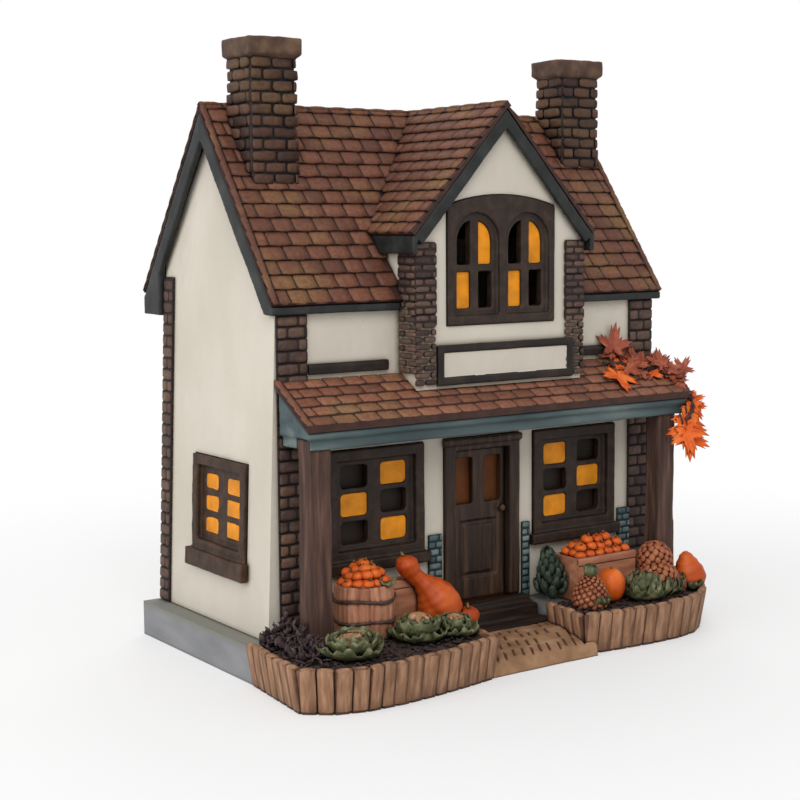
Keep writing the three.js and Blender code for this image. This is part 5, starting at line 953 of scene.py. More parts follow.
def build_openings():
    """Window frames, door and steps, and amber panes with a painted glow behind those lights that look lit.
    """
    build_casts(OPENING_CASTS)
    panes = Clay()
    half, high = FRONT_PANE[0] / 2 + 0.3, FRONT_PANE[1] + 0.3
    for side in (-1, 1):
        for column in (0, 1):
            for row in range(3):
                if (column + row) % 2 == (side > 0):
                    continue
                x = side * FRONT_WINDOW + FRONT_COLUMN * (column - 0.5)
                z = FRONT_PANE_FOOT + FRONT_ROW * row
                panes.add(box_shape(x - half, x + half, *FRONT_PANE_DEPTH, z - 0.3, z + high, 0.35))
    half = SIDE_PANE_HALF
    level = SIDE_FOOT + SIDE_HALF_HIGH
    for side in (-1, 1):
        lean = Matrix.Rotation(-side * math.atan(WALL_LEAN), 4, "Y")
        turn = lean @ Matrix.Rotation(side * math.pi / 2, 4, "Z")
        matrix = Matrix.Translation((side * wall_half(level), SIDE_MIDDLE_Y, level)) @ turn
        matrix = matrix @ Matrix.Translation((0, 0, -SIDE_HALF_HIGH))
        for column in (0, 1):
            for row in range(3):
                x = SIDE_COLUMN * (column - 0.5)
                z = SIDE_PANE_FOOT + SIDE_ROW * row
                panes.add(box_shape(x - half, x + half, *SIDE_PANE_DEPTH, z - 0.9, z + 5.2, 0.4), matrix)
    half = BAY_PANE_HALF
    for hand in (-1, 1):
        for column in (-1, 1):
            z0, z1 = BAY_PANES[column > 0]
            x = BAY_MIDDLE + hand * BAY_CASEMENT + column * BAY_COLUMN
            panes.add(box_shape(x - half, x + half, *BAY_PANE_DEPTH, z0 - 0.3, z1, 0.3))
    shaped("amber_panes", panes, [AMBER_PANE])
    keep("glow_film", AMBER_FILM)


def build_timber():
    build_casts(TIMBER_CASTS)
    keep("bay_shell house_shell", WALL_PLASTER)
    keep("garden_base", PLINTH_STONE)


# Fence and path
FENCE_LEFT = [(-102.8, -45.3), (-106.6, -83.5), (-97.5, -91), (-86.2, -94.5), (-72, -95), (-58.7, -94),
              (-43, -91.8), (-29.4, -89.3), (-29.4, -62)]
FENCE_RIGHT = [(20.4, -62), (17.6, -85), (34, -87), (50, -88.3), (64, -88.2), (74.5, -86), (82.5, -81),
               (88.6, -73.8), (94, -64), (98.6, -54), (102.8, -45.3)]
FENCE_HIGH = 15.8
FENCE_LEAN = 2.6
FENCE_END = -46.6
BOARD_THICK = 2.9
BOARD_GAP = 0.35
STROKE_START = (-27, -62.6)
STROKE_ROWS, STROKES = 4, 12
STROKE_REACH, STROKE_DEPTH = 0.5, 0.9
PATH_TOP = 4.6


def board_units(plan, width, rng):
    """Leaning boards that stand side by side along each stretch of a plan."""
    units = []
    points = [Vector((x, y, 0)) for x, y in plan]
    for first, last in zip(points, points[1:]):
        side = (last - first).normalized()
        out = Vector((side.y, -side.x, 0))
        up = (Vector((0, 0, FENCE_HIGH)) + out * FENCE_LEAN).normalized()
        turn = facing(side, -side.cross(up), up)
        count = max(1, round((last - first).length / width))
        for i in range(count):
            start, end = first.lerp(last, i / count), first.lerp(last, (i + 1) / count)
            high = FENCE_HIGH + rng.uniform(-0.3, 0.4)
            middle = (start + end) / 2 + out * (FENCE_LEAN / 2 + 0.35 - BOARD_THICK / 2)
            middle.z = high / 2 + 0.55
            units.append((tuple(middle), ((end - start).length - BOARD_GAP, BOARD_THICK, high), turn))
    return units


def build_fence():
    rng = random.Random(21)
    boards = board_units(FENCE_LEFT, 5.4, rng) + board_units(FENCE_RIGHT, 6.2, rng)
    boards = [unit for unit in boards if unit[0][1] < FENCE_END]
    lay("fence_boards", boards, FENCE_WOOD, rounding=0.1, uneven=0.35, turn_spread=0.012, seed=19)
    keep("fence_left fence_right", FENCE_GAP)
    dashes = []
    for row in range(STROKE_ROWS):
        for k in range(STROKES):
            x = STROKE_START[0] + k * 4.1 + row * 1.4 + rng.uniform(-0.5, 0.5)
            y = STROKE_START[1] - row * 6.4 + rng.uniform(-0.9, 0.9)
            long = rng.uniform(3.8, 5.4)
            if rng.random() < 0.85:
                dashes.append((np.array((x, y)), np.array((-0.42 * long, -0.9 * long))))

    def dash_gap(flat):
        """The distance of points on the path from the nearest stroke."""
        nearest_gap = np.full(len(flat), 99.0)
        for start, run in dashes:
            t = np.clip(((flat - start) @ run) / (run @ run), 0, 1)
            nearest_gap = np.minimum(nearest_gap, np.linalg.norm(flat - start - t[:, None] * run, axis=1))
        return nearest_gap

    def press(points):
        """Presses short slanting strokes into the top of the path."""
        deep = STROKE_DEPTH * np.exp(-(dash_gap(points[:, :2]) / STROKE_REACH) ** 2)
        on_top = np.clip(points[:, 2] - PATH_TOP, 0, 1)
        points[:, 2] = np.maximum(points[:, 2] - deep * on_top, 0)
        return points

    def in_dash(centre):
        return centre.z > 5 and dash_gap(np.array([[centre.x, centre.y]]))[0] < 0.42

    cast("front_path", PATH_CLAY, "path", 0.4, 2, 0.35, (0.25, 0.25, 0.25), 0.8, PATH_GROOVE, in_dash, press)


# Shapes of planting
def turns(count):
    return [2 * math.pi * k / count for k in range(count)]


def welded(points, faces):
    """The same shape with coincident points made one and faces without area gone."""
    places, index, remap = {}, [], []
    for point in points:
        key = tuple(round(c, 5) for c in point)
        if key not in places:
            places[key] = len(index)
            index.append(point)
        remap.append(places[key])
    corners = [tuple(dict.fromkeys(remap[i] for i in face)) for face in faces]
    return index, [face for face in corners if len(face) > 2]


def ribbed_ball(radius, high, ribs, groove, dent=0.25, across=36, down=18):
    """A pumpkin: a ball with ribs, dented at both ends."""
    points = []
    for i in range(down + 1):
        latitude = math.pi * i / down
        reach, level = math.sin(latitude), math.cos(latitude)
        dip = dent * math.exp(-(reach / 0.32) ** 2) * math.copysign(1, level)
        for angle in turns(across):
            rib = abs(math.cos(angle * ribs / 2))
            r = radius * reach * (1 - groove * (1 - rib ** 0.6) * reach ** 0.6)
            points.append((r * math.cos(angle), r * math.sin(angle), high / 2 * (level - dip)))
    return welded(points, [(a, d, c, b) for a, b, c, d in ring_faces(down + 1, across)])


def tube(path, radii, sides=6):
    """A round section along a run of points, closed at both ends."""
    points = []
    path = [Vector(p) for p in path]
    guide = Vector((0.13, 0.21, 1)).normalized()
    for i, centre in enumerate(path):
        along = (path[min(i + 1, len(path) - 1)] - path[max(i - 1, 0)]).normalized()
        across = along.cross(guide)
        if across.length < 0.1:
            across = along.cross(Vector((1, 0, 0)))
        across.normalize()
        third = along.cross(across)
        for angle in turns(sides):
            spoke = across * math.cos(angle) + third * math.sin(angle)
            points.append(tuple(centre + spoke * radii[i]))
    return points, ring_faces(len(path), sides) + end_faces(len(path), sides)


def smooth_tube(path, radii, sides, ribs, groove):
    """A tube through points by a smooth curve, with shallow ribs along it."""
    spine, girths = [], []
    last = len(path) - 1
    path = [Vector(p) for p in path]
    for i in range(last):
        p0, p1, p2, p3 = path[max(i - 1, 0)], path[i], path[i + 1], path[min(i + 2, last)]
        for step in range(5):
            t = step / 5
            bend = (2 * p0 - 5 * p1 + 4 * p2 - p3) * t * t + (3 * p1 - 3 * p2 + p3 - p0) * t ** 3
            spine.append((2 * p1 + (p2 - p0) * t + bend) * 0.5)
            girths.append(radii[i] + (radii[i + 1] - radii[i]) * (t * t * (3 - 2 * t)))
    spine.append(path[-1])
    girths.append(radii[-1])
    points, faces = tube(spine, girths, sides)
    ribbed = []
    for index, point in enumerate(points):
        ring, k = divmod(index, sides)
        rib = abs(math.cos(math.pi * k / sides * ribs)) ** 0.6
        scale = 1 - groove * (1 - rib) * min(1, girths[ring] / 6)
        ribbed.append(tuple(spine[ring] + (Vector(point) - spine[ring]) * scale))
    return ribbed, faces


def slab(grid, thickness):
    """A closed sheet from a grid of points, its underside set back along the sheet's own normal."""
    rows, columns = len(grid), len(grid[0])
    grid = [[Vector(p) for p in row] for row in grid]
    top, under = [], []
    for i in range(rows):
        for k in range(columns):
            du = grid[min(i + 1, rows - 1)][k] - grid[max(i - 1, 0)][k]
            dv = grid[i][min(k + 1, columns - 1)] - grid[i][max(k - 1, 0)]
            normal = du.cross(dv)
            normal = normal.normalized() if normal.length > 1e-9 else Vector((0, 0, 1))
            rim = 0.35 if k in (0, columns - 1) or i in (0, rows - 1) else 1.0
            top.append(tuple(grid[i][k] + normal * thickness * 0.5 * rim))
            under.append(tuple(grid[i][k] - normal * thickness * 0.5 * rim))
    count = rows * columns
    faces = []
    for i in range(rows - 1):
        for a in range(i * columns, (i + 1) * columns - 1):
            face = (a, a + 1, a + columns + 1, a + columns)
            faces += [face, tuple(corner + count for corner in reversed(face))]
    edge = [*range(columns), *range(2 * columns - 1, count, columns)]
    edge += [*range(count - 2, count - columns - 1, -1), *range((rows - 2) * columns, 0, -columns)]
    for a, b in zip(edge, edge[1:] + edge[:1]):
        faces.append((b, a, a + count, b + count))
    return top + under, faces


def broad_leaf(length, width, cup, curl, wave, rng, rows=10, columns=9, taper=0.78):
    """A cabbage leaf that stands up from its foot, bowl shaped with a frilled edge."""
    grid = []
    phase = rng.uniform(0, 6)
    for i in range(rows):
        t = i / (rows - 1)
        half = width / 2 * (math.sin(math.pi * min(1, 0.18 + t * taper)) ** 0.7)
        row = []
        for k in range(columns):
            s = 2 * k / (columns - 1) - 1
            frill = wave * (abs(s) ** 2 + t ** 3) * math.sin(phase + 9 * t + 7 * s)
            vein = -0.35 * math.exp(-(s / 0.12) ** 2) - 0.12 * math.cos(s * 14 + t * 6)
            y = length * (t * math.cos(curl * t)) + 0.12 * length * (1 - s * s)
            row.append((half * s, y, length * t * math.sin(curl * t) + cup * s * s + frill + vein))
        grid.append(row)
    return slab(grid, 0.7)


def set_leaf(clay, leaf, place, spin, tilt, skin=1, reach=0.0):
    """Puts a leaf down with its foot so far from a place, tilted up and then turned round the upright."""
    turn = Matrix.Rotation(spin, 4, "Z") @ Matrix.Translation((0, reach, 0)) @ Matrix.Rotation(tilt, 4, "X")
    clay.add(leaf, Matrix.Translation(place) @ turn, skin)


def leaf_fan(clay, foot, count, start, step, tilt, rng, shape, grid, skin=1):
    """Equal leaves fanned out from one foot."""
    for i in range(count):
        set_leaf(clay, broad_leaf(*shape, rng, *grid), foot, start + i * step, tilt, skin)


def facing_out(normal):
    return normal.to_track_quat("Z", "Y").to_matrix().to_4x4()


def tumbled(*angles):
    return Euler(angles).to_matrix().to_4x4()


# Rings of leaves from the outside in: count, reach, stand, size and skin
CABBAGE_RINGS = (
    (5, 0.36, 0.2, 0.84, 0), (5, 0.34, 0.6, 0.74, 0), (4, 0.42, 1.05, 0.56, 0), (5, 0.34, 1.3, 0.44, 1),
)
GREENS_RINGS = ((7, 3.2, 0.2, 8.6), (6, 2.2, 0.5, 8.0), (5, 1.4, 0.85, 7.0), (3, 0.6, 1.2, 5.6))


def cabbage(clay, place, radius, high, rng):
    """A cabbage: rings of leaves, each steeper than the one outside it, round a tan heart."""
    place = Vector(place)
    for ring, (count, reach, stand, size, skin) in enumerate(CABBAGE_RINGS):
        for i in range(count):
            angle = 2 * math.pi * (i + 0.5 * ring) / count + rng.uniform(-0.2, 0.2)
            length = radius * size * rng.uniform(0.9, 1.1)
            leaf = broad_leaf(length, length * 1.5, radius * 0.14, 0.35, radius * 0.05, rng, taper=0.64)
            foot = place + Vector((0, 0, ring * 0.12 * high))
            tilt = stand * rng.uniform(0.8, 1.15)
            set_leaf(clay, leaf, foot, angle - math.pi / 2, tilt, skin, radius * reach)
    heart = ribbed_ball(radius * 0.42, high * 0.6, 6, 0.34, 0.5, 36, 14)
    clay.add(heart, Matrix.Translation(place + Vector((0, 0, high * 0.66))), 1)


def pumpkin(clay, x, y, z, radius, rng, lean=0.4, across=24, down=12):
    """A small pumpkin with a bent stem, leaning any way by up to lean."""
    flat = 0.82
    shape = ribbed_ball(radius, radius * 2 * flat, 8, 0.1, 0.22, across, down)
    turn = tumbled(rng.uniform(-lean, lean), rng.uniform(-lean, lean), rng.uniform(0, 6))
    place = Matrix.Translation((x, y, z)) @ turn
    clay.add(shape, place, 0)
    top = radius * flat * 0.72
    stem = [Vector(p) * radius for p in ((0, 0, 0), (0.06, 0, 0.25), (0.22, 0.05, 0.5))]
    stem = [p + Vector((0, 0, top)) for p in stem]
    clay.add(tube(stem, [radius * f for f in (0.2, 0.13, 0.12)]), place, 1)


def scaly_lump(clay, centre, radius, high, bumps, size, rng):
    """A lump covered with rounded kernels in spirals."""
    clay.add(ribbed_ball(radius * 0.93, high * 0.95, 6, 0.0, 0.0, 24, 12), Matrix.Translation(centre))
    for i in range(bumps):
        level = 1 - 2 * (i + 0.5) / bumps
        ring = math.sqrt(1 - level * level)
        angle = GOLDEN_ANGLE * i
        normal = Vector((ring * math.cos(angle), ring * math.sin(angle), level))
        place = Vector((normal.x * radius, normal.y * radius, normal.z * high / 2)) + Vector(centre)
        bump = ribbed_ball(size * rng.uniform(0.85, 1.15), size * 1.3, 3, 0.0, 0.0, 8, 5)
        clay.add(bump, Matrix.Translation(place) @ facing_out(normal) @ Matrix.Diagonal((1, 1.25, 0.8, 1)))


# Garden
SOIL_LEVEL = 13.4
BED_FOOT = SOIL_LEVEL + 0.3
BARREL = (-62.5, -56.0)
BARREL_HIGH = 20
STAVE = 7
HOOPS = ((1.6, 10.5), (7.2, 11.35), (14.8, 11.5))
HOOP_PROFILE = ((-0.9, -0.5), (0.1, -0.5), (0.28, -0.2), (0.28, 0.2), (0.1, 0.5), (-0.9, 0.5))
BARREL_RIM = (BARREL_HIGH, 16.8)
BARREL_INSIDE = 9.3
BARREL_HEAP = ((12, 7.2, 20.6), (10, 5.4, 23.2), (6, 3.0, 25.2), (1, 0.0, 26.6))
CABBAGES = (
    ("cabbage_left", ((-82, -77.4, 10.4, 9.0),)),
    ("cabbage_pair", ((-50.4, -72.6, 9.6, 11.0), (-35.6, -74.4, 8.2, 8.4))),
)
SMALL_PUMPKIN = 2.5
CRATE_WALL = 1.7
CRATE_HEAP = ((6, 3, 0.2), (5, 2, 2.9), (3, 1, 5.0))
GOURD_SPINE = (
    (-43.4, -54.4, 40.6), (-43.2, -54.4, 39.4), (-42.6, -54.5, 37.6), (-41.4, -54.8, 35.4),
    (-39.8, -55.2, 33.2), (-37.8, -55.8, 31.2), (-35.6, -56.6, 29.0), (-33.6, -57.3, 26.8),
    (-32.0, -57.9, 24.4), (-30.8, -58.3, 21.8), (-29.8, -58.6, 18.8), (-29.2, -58.9, 16.2),
    (-28.9, -59.0, 13.9),
)
GOURD_RADII = (1.4, 3.4, 4.3, 4.0, 3.2, 3.2, 4.4, 6.2, 7.7, 8.4, 8.3, 7.0, 4.6)
GOURD_STEM = ((-43.6, -54.3, 40.4), (-44.4, -54.0, 41.6), (-44.2, -53.6, 42.2))
SQUASH_SPINE = ((86.6, -71.8, 0.4), (86.4, -71.8, 2.4), (86.1, -71.7, 5), (85.6, -71.5, 8), (85.0, -71.2, 11),
                (84.5, -71.0, 13.6), (84.2, -70.9, 15.6))
SQUASH_RADII = (3.4, 5.9, 6.8, 6.2, 4.6, 2.9, 0.9)
CONE_FOOT = (31.2, -73.0, BED_FOOT)
CONE_PROFILE = ((0, 0.2), (5.4, 0.2), (6.6, 2.4), (6.4, 5.2), (5.0, 8.6), (2.8, 11.4), (0, 12.8))
CONE_SCALES = 110
OVAL_MIDDLE, CORN_MIDDLE = (43.6, -71.2), (71.5, -71)
GREENS_MIDDLE, SHRUB_MIDDLE = (57.4, -75.4), (28.2, -54.4)
CORN_LEAVES, SHRUB_LEAVES = 14, 40
CORN = (((70.4, -69.4, 5.6), 8.2, 15, 120, 1.35), ((72.0, -65.8, 12.6), 7.0, 15, 100, 1.3),
        ((77.0, -71.6, 3.0), 5.0, 9, 60, 1.2))


def on_soil(x, y, level):
    return x, y, SOIL_LEVEL + level


def build_barrel():
    """The barrel's staves and hoops, and the heap of small pumpkins in it."""
    rng = random.Random(31)
    x, y = BARREL
    rows, across = 26, 112
    points = []
    for i in range(rows + 1):
        t = i / rows
        bulge = 9.7 + 1.5 * math.sin(math.pi * min(1, 0.12 + t * 0.72))
        for k, angle in enumerate(turns(across)):
            groove = 0.5 if k % STAVE == 0 else 0.0
            r = bulge - groove + 0.1 * math.sin(k * 2.1) + 0.06 * math.sin(k * 0.9 + t * 3)
            rim = 0.3 * math.sin(k // STAVE * 2.3) * (t > 0.97)
            z = BED_FOOT + BARREL_HIGH * t + rim
            points.append((x + r * math.cos(angle), y + r * math.sin(angle), z))
    for level in BARREL_RIM:
        for angle in turns(across):
            sideways, back = BARREL_INSIDE * math.cos(angle), BARREL_INSIDE * math.sin(angle)
            points.append((x + sideways, y + back, BED_FOOT + level))
    staves = Clay()
    staves.add((points, ring_faces(rows + 3, across) + end_faces(rows + 3, across)))
    for level, radius in HOOPS:
        points = []
        for angle in turns(72):
            z = BED_FOOT + level + 0.5 * math.sin(angle * 3 + level)
            for out, up in HOOP_PROFILE:
                r = radius + 0.12 * math.sin(angle * 5 + level) + out
                points.append((x + r * math.cos(angle), y + r * math.sin(angle), z + up))
        staves.add((points, ring_faces(72, len(HOOP_PROFILE), closed=True)), None, 1)
    shaped("barrel_staves", staves, [STAVE_WOOD, HOOP_IRON], ("barrel",))

    heap = Clay()
    for count, reach, level in BARREL_HEAP:
        for angle in turns(count):
            angle += level
            far = reach * rng.uniform(0.92, 1.06)
            z = BED_FOOT + level + rng.uniform(-0.4, 0.5)
            pumpkin(heap, x + far * math.cos(angle), y + far * math.sin(angle), z, SMALL_PUMPKIN, rng)
    heap.add(ribbed_ball(9.0, 9.6, 5, 0.02, 0.1, 24, 12), Matrix.Translation((x, y, BED_FOOT + 18.6)))
    leaf_fan(heap, (x + 4.2, y - 9.0, BED_FOOT + 20.6), 4, 0, 1.5, -0.5, rng, (3.2, 3.0, 0.4, 0.9, 0.3),
             (6, 5), 2)
    shaped("barrel_heap", heap, [PUMPKIN_SKIN, STEM_GREEN, LEAF_GREEN], ("barrel_pumpkins",))


def plank_crate(x, y, length, depth, high, name, node):
    """An open crate of smooth boards with a rim board on top."""
    clay = Clay()
    low, top = BED_FOOT, BED_FOOT + high
    left, right, front, back = x - length / 2, x + length / 2, y - depth / 2, y + depth / 2
    for y0, y1 in ((front, front + CRATE_WALL), (back - CRATE_WALL, back)):
        clay.add(box_shape(left + 0.3, right - 0.3, y0, y1, low, top - 3.1, 0.35))
        clay.add(box_shape(left, right, y0 - 0.15, y1 + 0.15, top - 3.0, top, 0.5))
    for x0, x1 in ((left, left + CRATE_WALL), (right - CRATE_WALL, right)):
        clay.add(box_shape(x0, x1, front + 0.5, back - 0.5, low, top - 0.3, 0.4))
    clay.add(box_shape(left + 1, right - 1, front + 1, back - 1, low, top - 6, 0.4))
    shaped(name, clay, [CRATE_WOOD], (node,))


def build_left_bed():
    rng = random.Random(41)
    plank_crate(-40.2, -50.0, 18.0, 6.4, 17.6, "left_crate", "crate_left")
    gourd = Clay()
    gourd.add(smooth_tube(GOURD_SPINE, GOURD_RADII, 48, 9, 0.06))
    gourd.add(tube(GOURD_STEM, [0.8, 0.55, 0.4]), None, 1)
    pumpkin(gourd, -21.4, -64.2, 17.0, 4.2, rng, lean=0.25, across=32, down=18)
    shaped("gourd_skin", gourd, [SQUASH_SKIN, STEM_GREEN], ("gourd",))
    for node, heads in CABBAGES:
        leaves = Clay()
        for x, y, radius, high in heads:
            cabbage(leaves, on_soil(x, y, 0.6), radius, high, rng)
        shaped(node + "_leaves", leaves, [LEAF_GREEN, HEART_TAN], (node,))


def build_crate_right(rng):
    x, y, high = 48.4, -56.4, 17.4
    plank_crate(x, y, 30.4, 15.4, high, "right_crate", "crate_right")
    heap = Clay()
    top = BED_FOOT + high
    for columns, rows, level in CRATE_HEAP:
        for i in range(columns):
            for k in range(rows):
                across = (i - (columns - 1) / 2) * 4.5 + rng.uniform(-0.5, 0.5)
                back = (k - (rows - 1) / 2) * 4.3 + rng.uniform(-0.4, 0.4)
                z = top + level + rng.uniform(-0.4, 0.4)
                pumpkin(heap, x + across, y + back, z, SMALL_PUMPKIN, rng)
    heap.add(box_shape(36, 60.8, -62, -51, top - 5, top - 1.5, 0.5))
    shaped("crate_heap", heap, [PUMPKIN_SKIN, STEM_GREEN], ("crate_pumpkins",))


def build_cone(rng):
    """A pine cone: scales in spirals, a tuft on top and leaves round its foot."""
    cone = Clay()
    foot = Vector(CONE_FOOT)

    def around(r, h, angle):
        return foot.x + r * math.cos(angle), foot.y + r * math.sin(angle), foot.z + h

    core = [around(r, h, angle) for r, h in CONE_PROFILE for angle in turns(20)]
    cone.add(welded(core, ring_faces(len(CONE_PROFILE), 20)))
    for i in range(CONE_SCALES):
        t = (i + 0.5) / CONE_SCALES
        h = 12.2 * t ** 0.92
        r = np.interp(h, [p[1] for p in CONE_PROFILE], [p[0] for p in CONE_PROFILE])
        angle = GOLDEN_ANGLE * i
        out = Vector((math.cos(angle), math.sin(angle), 0.25)).normalized()
        scale = ribbed_ball(1.35 - 0.55 * t, 1.5, 4, 0.0, 0.0, 8, 5)
        cone.add(scale, Matrix.Translation(around(r, 0.6 + h, angle)) @ facing_out(out))
    tuft, below = foot + Vector((0, 0, 11.6)), foot + Vector((0.6, -2.6, 0.5))
    leaf_fan(cone, tuft, 9, 0, 0.7, 0.6, rng, (5.4, 3.2, 0.4, 0.7, 0.4), (7, 5))
    leaf_fan(cone, below, 9, 2.4, 0.42, 0.3, rng, (6.4, 4.4, 0.6, 0.4, 0.6), (8, 6))
    shaped("pine_cone_scales", cone, [CONE_SCALE, LEAF_GREEN], ("pine_cone",))


def build_corn(rng):
    corn = Clay()
    for place, radius, high, bumps, size in CORN:
        scaly_lump(corn, on_soil(*place), radius, high, bumps, size, rng)
    x, y = CORN_MIDDLE
    for i in range(CORN_LEAVES):
        angle = 3.4 + i * 0.24
        leaf = broad_leaf(rng.uniform(4.4, 6.6), 3.6, 0.5, 0.5, 0.6, rng, 8, 6)
        tilt = rng.uniform(0.2, 0.9)
        spot = on_soil(x + 7.6 * math.cos(angle), y + 6.6 * math.sin(angle), rng.uniform(0.6, 3.0))
        set_leaf(corn, leaf, spot, angle, tilt)
    shaped("corn_kernels", corn, [CONE_SCALE, LEAF_GREEN], ("corn_heap",))


def build_right_bed():
    rng = random.Random(51)
    build_crate_right(rng)
    build_cone(rng)
    oval = Clay()
    oval.add(ribbed_ball(5.5, 14.2, 8, 0.05, 0.06, 40, 20), Matrix.Translation(on_soil(*OVAL_MIDDLE, 7.3)))
    oval.add(tube([on_soil(*OVAL_MIDDLE, 13.6), on_soil(43.9, -71.1, 15.2)], [0.7, 0.4]), None, 1)
    shaped("oval_pumpkin_skin", oval, [PUMPKIN_SKIN, STEM_GREEN], ("oval_pumpkin",))
    build_corn(rng)

    squash = Clay()
    squash.add(smooth_tube([on_soil(*p) for p in SQUASH_SPINE], SQUASH_RADII, 36, 4, 0.1))
    foot = on_soil(83.6, -76.2, 0.8)
    leaf_fan(squash, foot, 5, 2.0, 0.6, 0.4, rng, (5.0, 3.8, 0.5, 0.4, 0.3), (7, 5))
    shaped("squash_skin", squash, [SQUASH_SKIN, LEAF_GREEN], ("squash_right",))

    greens = Clay()
    for ring, (count, reach, stand, size) in enumerate(GREENS_RINGS):
        for i in range(count):
            angle = 2 * math.pi * (i + 0.5 * ring) / count + rng.uniform(-0.25, 0.25)
            length = size * rng.uniform(0.85, 1.15)
            leaf = broad_leaf(length, length * 0.95, 1.0, 0.6, 0.9, rng)
            foot = on_soil(*GREENS_MIDDLE, 0.9 + 1.1 * ring)
            set_leaf(greens, leaf, foot, angle - math.pi / 2, stand, 0, reach)
    shaped("greens_leaves", greens, [LEAF_GREEN], ("cabbage_right",))

    shrub = Clay()
    for i in range(SHRUB_LEAVES):
        t = i / (SHRUB_LEAVES - 1)
        angle = i * 2.4
        reach = 3.4 * (1 - 0.6 * t)
        leaf = broad_leaf(7.4 - 2.4 * t, 3.6, 0.5, 0.6, 0.5, rng, 8, 6)
        x = SHRUB_MIDDLE[0] + reach * math.cos(angle + 1.57)
        y = SHRUB_MIDDLE[1] + 3.6 * t + reach * math.sin(angle + 1.57)
        set_leaf(shrub, leaf, on_soil(x, y, 1 + 15 * t), angle, 0.4 + 0.6 * t, 0)
    shaped("door_shrub_leaves", shrub, [SHRUB_TEAL], ("door_shrub",))


# Ground between the fences
SOIL_ROWS, SOIL_FRONT, SOIL_BACK = 51, -96, -45.6
SOIL_MARGIN, CHIP_MARGIN = 1.0, 3.4
CHIPS_PER_BED = 260
TWIGS, TANGLE_LEAVES = 130, 90
TANGLE_HIGH, TANGLE_MIDDLE, TANGLE_SPREAD, TANGLE_LEFT = 9.5, -92.5, 9, -101.5


def inside(x, y, outline):
    hit = False
    for i, (x1, y1) in enumerate(outline):
        x2, y2 = outline[i - 1]
        if (y1 > y) != (y2 > y) and x < (x2 - x1) * (y - y1) / (y2 - y1) + x1:
            hit = not hit
    return hit


def edge_gap(x, y, outline):
    """How far a place is from the boards of a fence."""
    gaps = []
    for first, last in zip(outline, outline[1:]):
        a, b = Vector(first), Vector(last)
        t = max(0, min(1, (Vector((x, y)) - a).dot(b - a) / (b - a).length_squared))
        gaps.append((Vector((x, y)) - a - (b - a) * t).length)
    return min(gaps)


def build_ground():
    """Crumbly soil inside both fences, and a tangle of twigs by the left post."""
    rng = random.Random(61)
    soil = Clay()
    chips = []
    for outline in (FENCE_LEFT, FENCE_RIGHT):
        low, high = min(p[0] for p in outline), max(p[0] for p in outline)
        points, index = [], {}
        for i in range(int(high - low) + 1):
            for k in range(SOIL_ROWS):
                x, y = low + i, SOIL_FRONT + k
                if inside(x, y, outline) and edge_gap(x, y, outline) > SOIL_MARGIN and y < SOIL_BACK:
                    lump = noise.noise(Vector((x * 0.5, y * 0.5, 3)))
                    lump += 0.6 * noise.noise(Vector((x * 1.3, y * 1.3, 7)))
                    index[i, k] = len(points)
                    points.append(on_soil(x, y, 0.55 + 0.8 * lump))
        squares = [[(i, k), (i + 1, k), (i + 1, k + 1), (i, k + 1)] for i, k in index]
        whole = [square for square in squares if all(corner in index for corner in square)]
        soil.add((points, [tuple(index[corner] for corner in square) for square in whole]))
        made = 0
        while made < CHIPS_PER_BED:
            x, y = rng.uniform(low, high), rng.uniform(-94, -46)
            if not inside(x, y, outline) or edge_gap(x, y, outline) < CHIP_MARGIN:
                continue
            made += 1
            turn = tumbled(rng.uniform(-0.5, 0.5), rng.uniform(-0.5, 0.5), rng.uniform(0, 6.3)).to_3x3()
            size = (rng.uniform(1.6, 4.2), rng.uniform(0.7, 1.3), rng.uniform(0.5, 0.9))
            chips.append((on_soil(x, y, rng.uniform(0.6, 1.3)), size, turn))
    shaped("soil_surface", soil, [SOIL])
    lay("mulch_chips", chips, SOIL, rounding=0.3, uneven=0.3, seed=17)

    def climb(x, share):
        """How high the tangle heaps up: most against the post."""
        return TANGLE_HIGH * max(0, 1 - abs(x - TANGLE_MIDDLE) / TANGLE_SPREAD) * (0.4 + 0.6 * share)

    def wander(down, up):
        return Vector((rng.uniform(-1, 1), rng.uniform(-1, 1), rng.uniform(down, up)))

    twigs = Clay()
    for _ in range(TWIGS):
        share = rng.random()
        x = -100.5 + 11.5 * rng.random()
        path = [Vector(on_soil(x, -78 + 31 * share, 0.4 + rng.uniform(0, 1) * climb(x, share)))]
        heading = wander(-0.5, 0.7).normalized()
        for _ in range(4):
            heading = (heading + wander(-0.7, 0.6) * 0.6).normalized()
            place = path[-1] + heading * rng.uniform(0.9, 1.7)
            path.append(Vector((max(place.x, TANGLE_LEFT), place.y, max(place.z, BED_FOOT))))
        thick = rng.uniform(0.28, 0.55)
        twigs.add(tube(path, [thick * f for f in (0.7, 1.0, 1.0, 0.9, 0.5)]))
    for _ in range(TANGLE_LEAVES):
        share = rng.random()
        x = rng.uniform(-100, -89.5)
        leaf = broad_leaf(rng.uniform(2.4, 4.2), rng.uniform(1.6, 2.6), 0.4, 0.7, 0.4, rng, 6, 5)
        turn = tumbled(rng.uniform(-0.4, 1.1), rng.uniform(-0.5, 0.5), rng.uniform(0, 6.3))
        place = on_soil(x, -77 + 30 * share, 0.7 + rng.uniform(0.3, 1.0) * climb(x, share))
        twigs.add(leaf, Matrix.Translation(place) @ turn)
    shaped("twig_tangle", twigs, [TWIG])


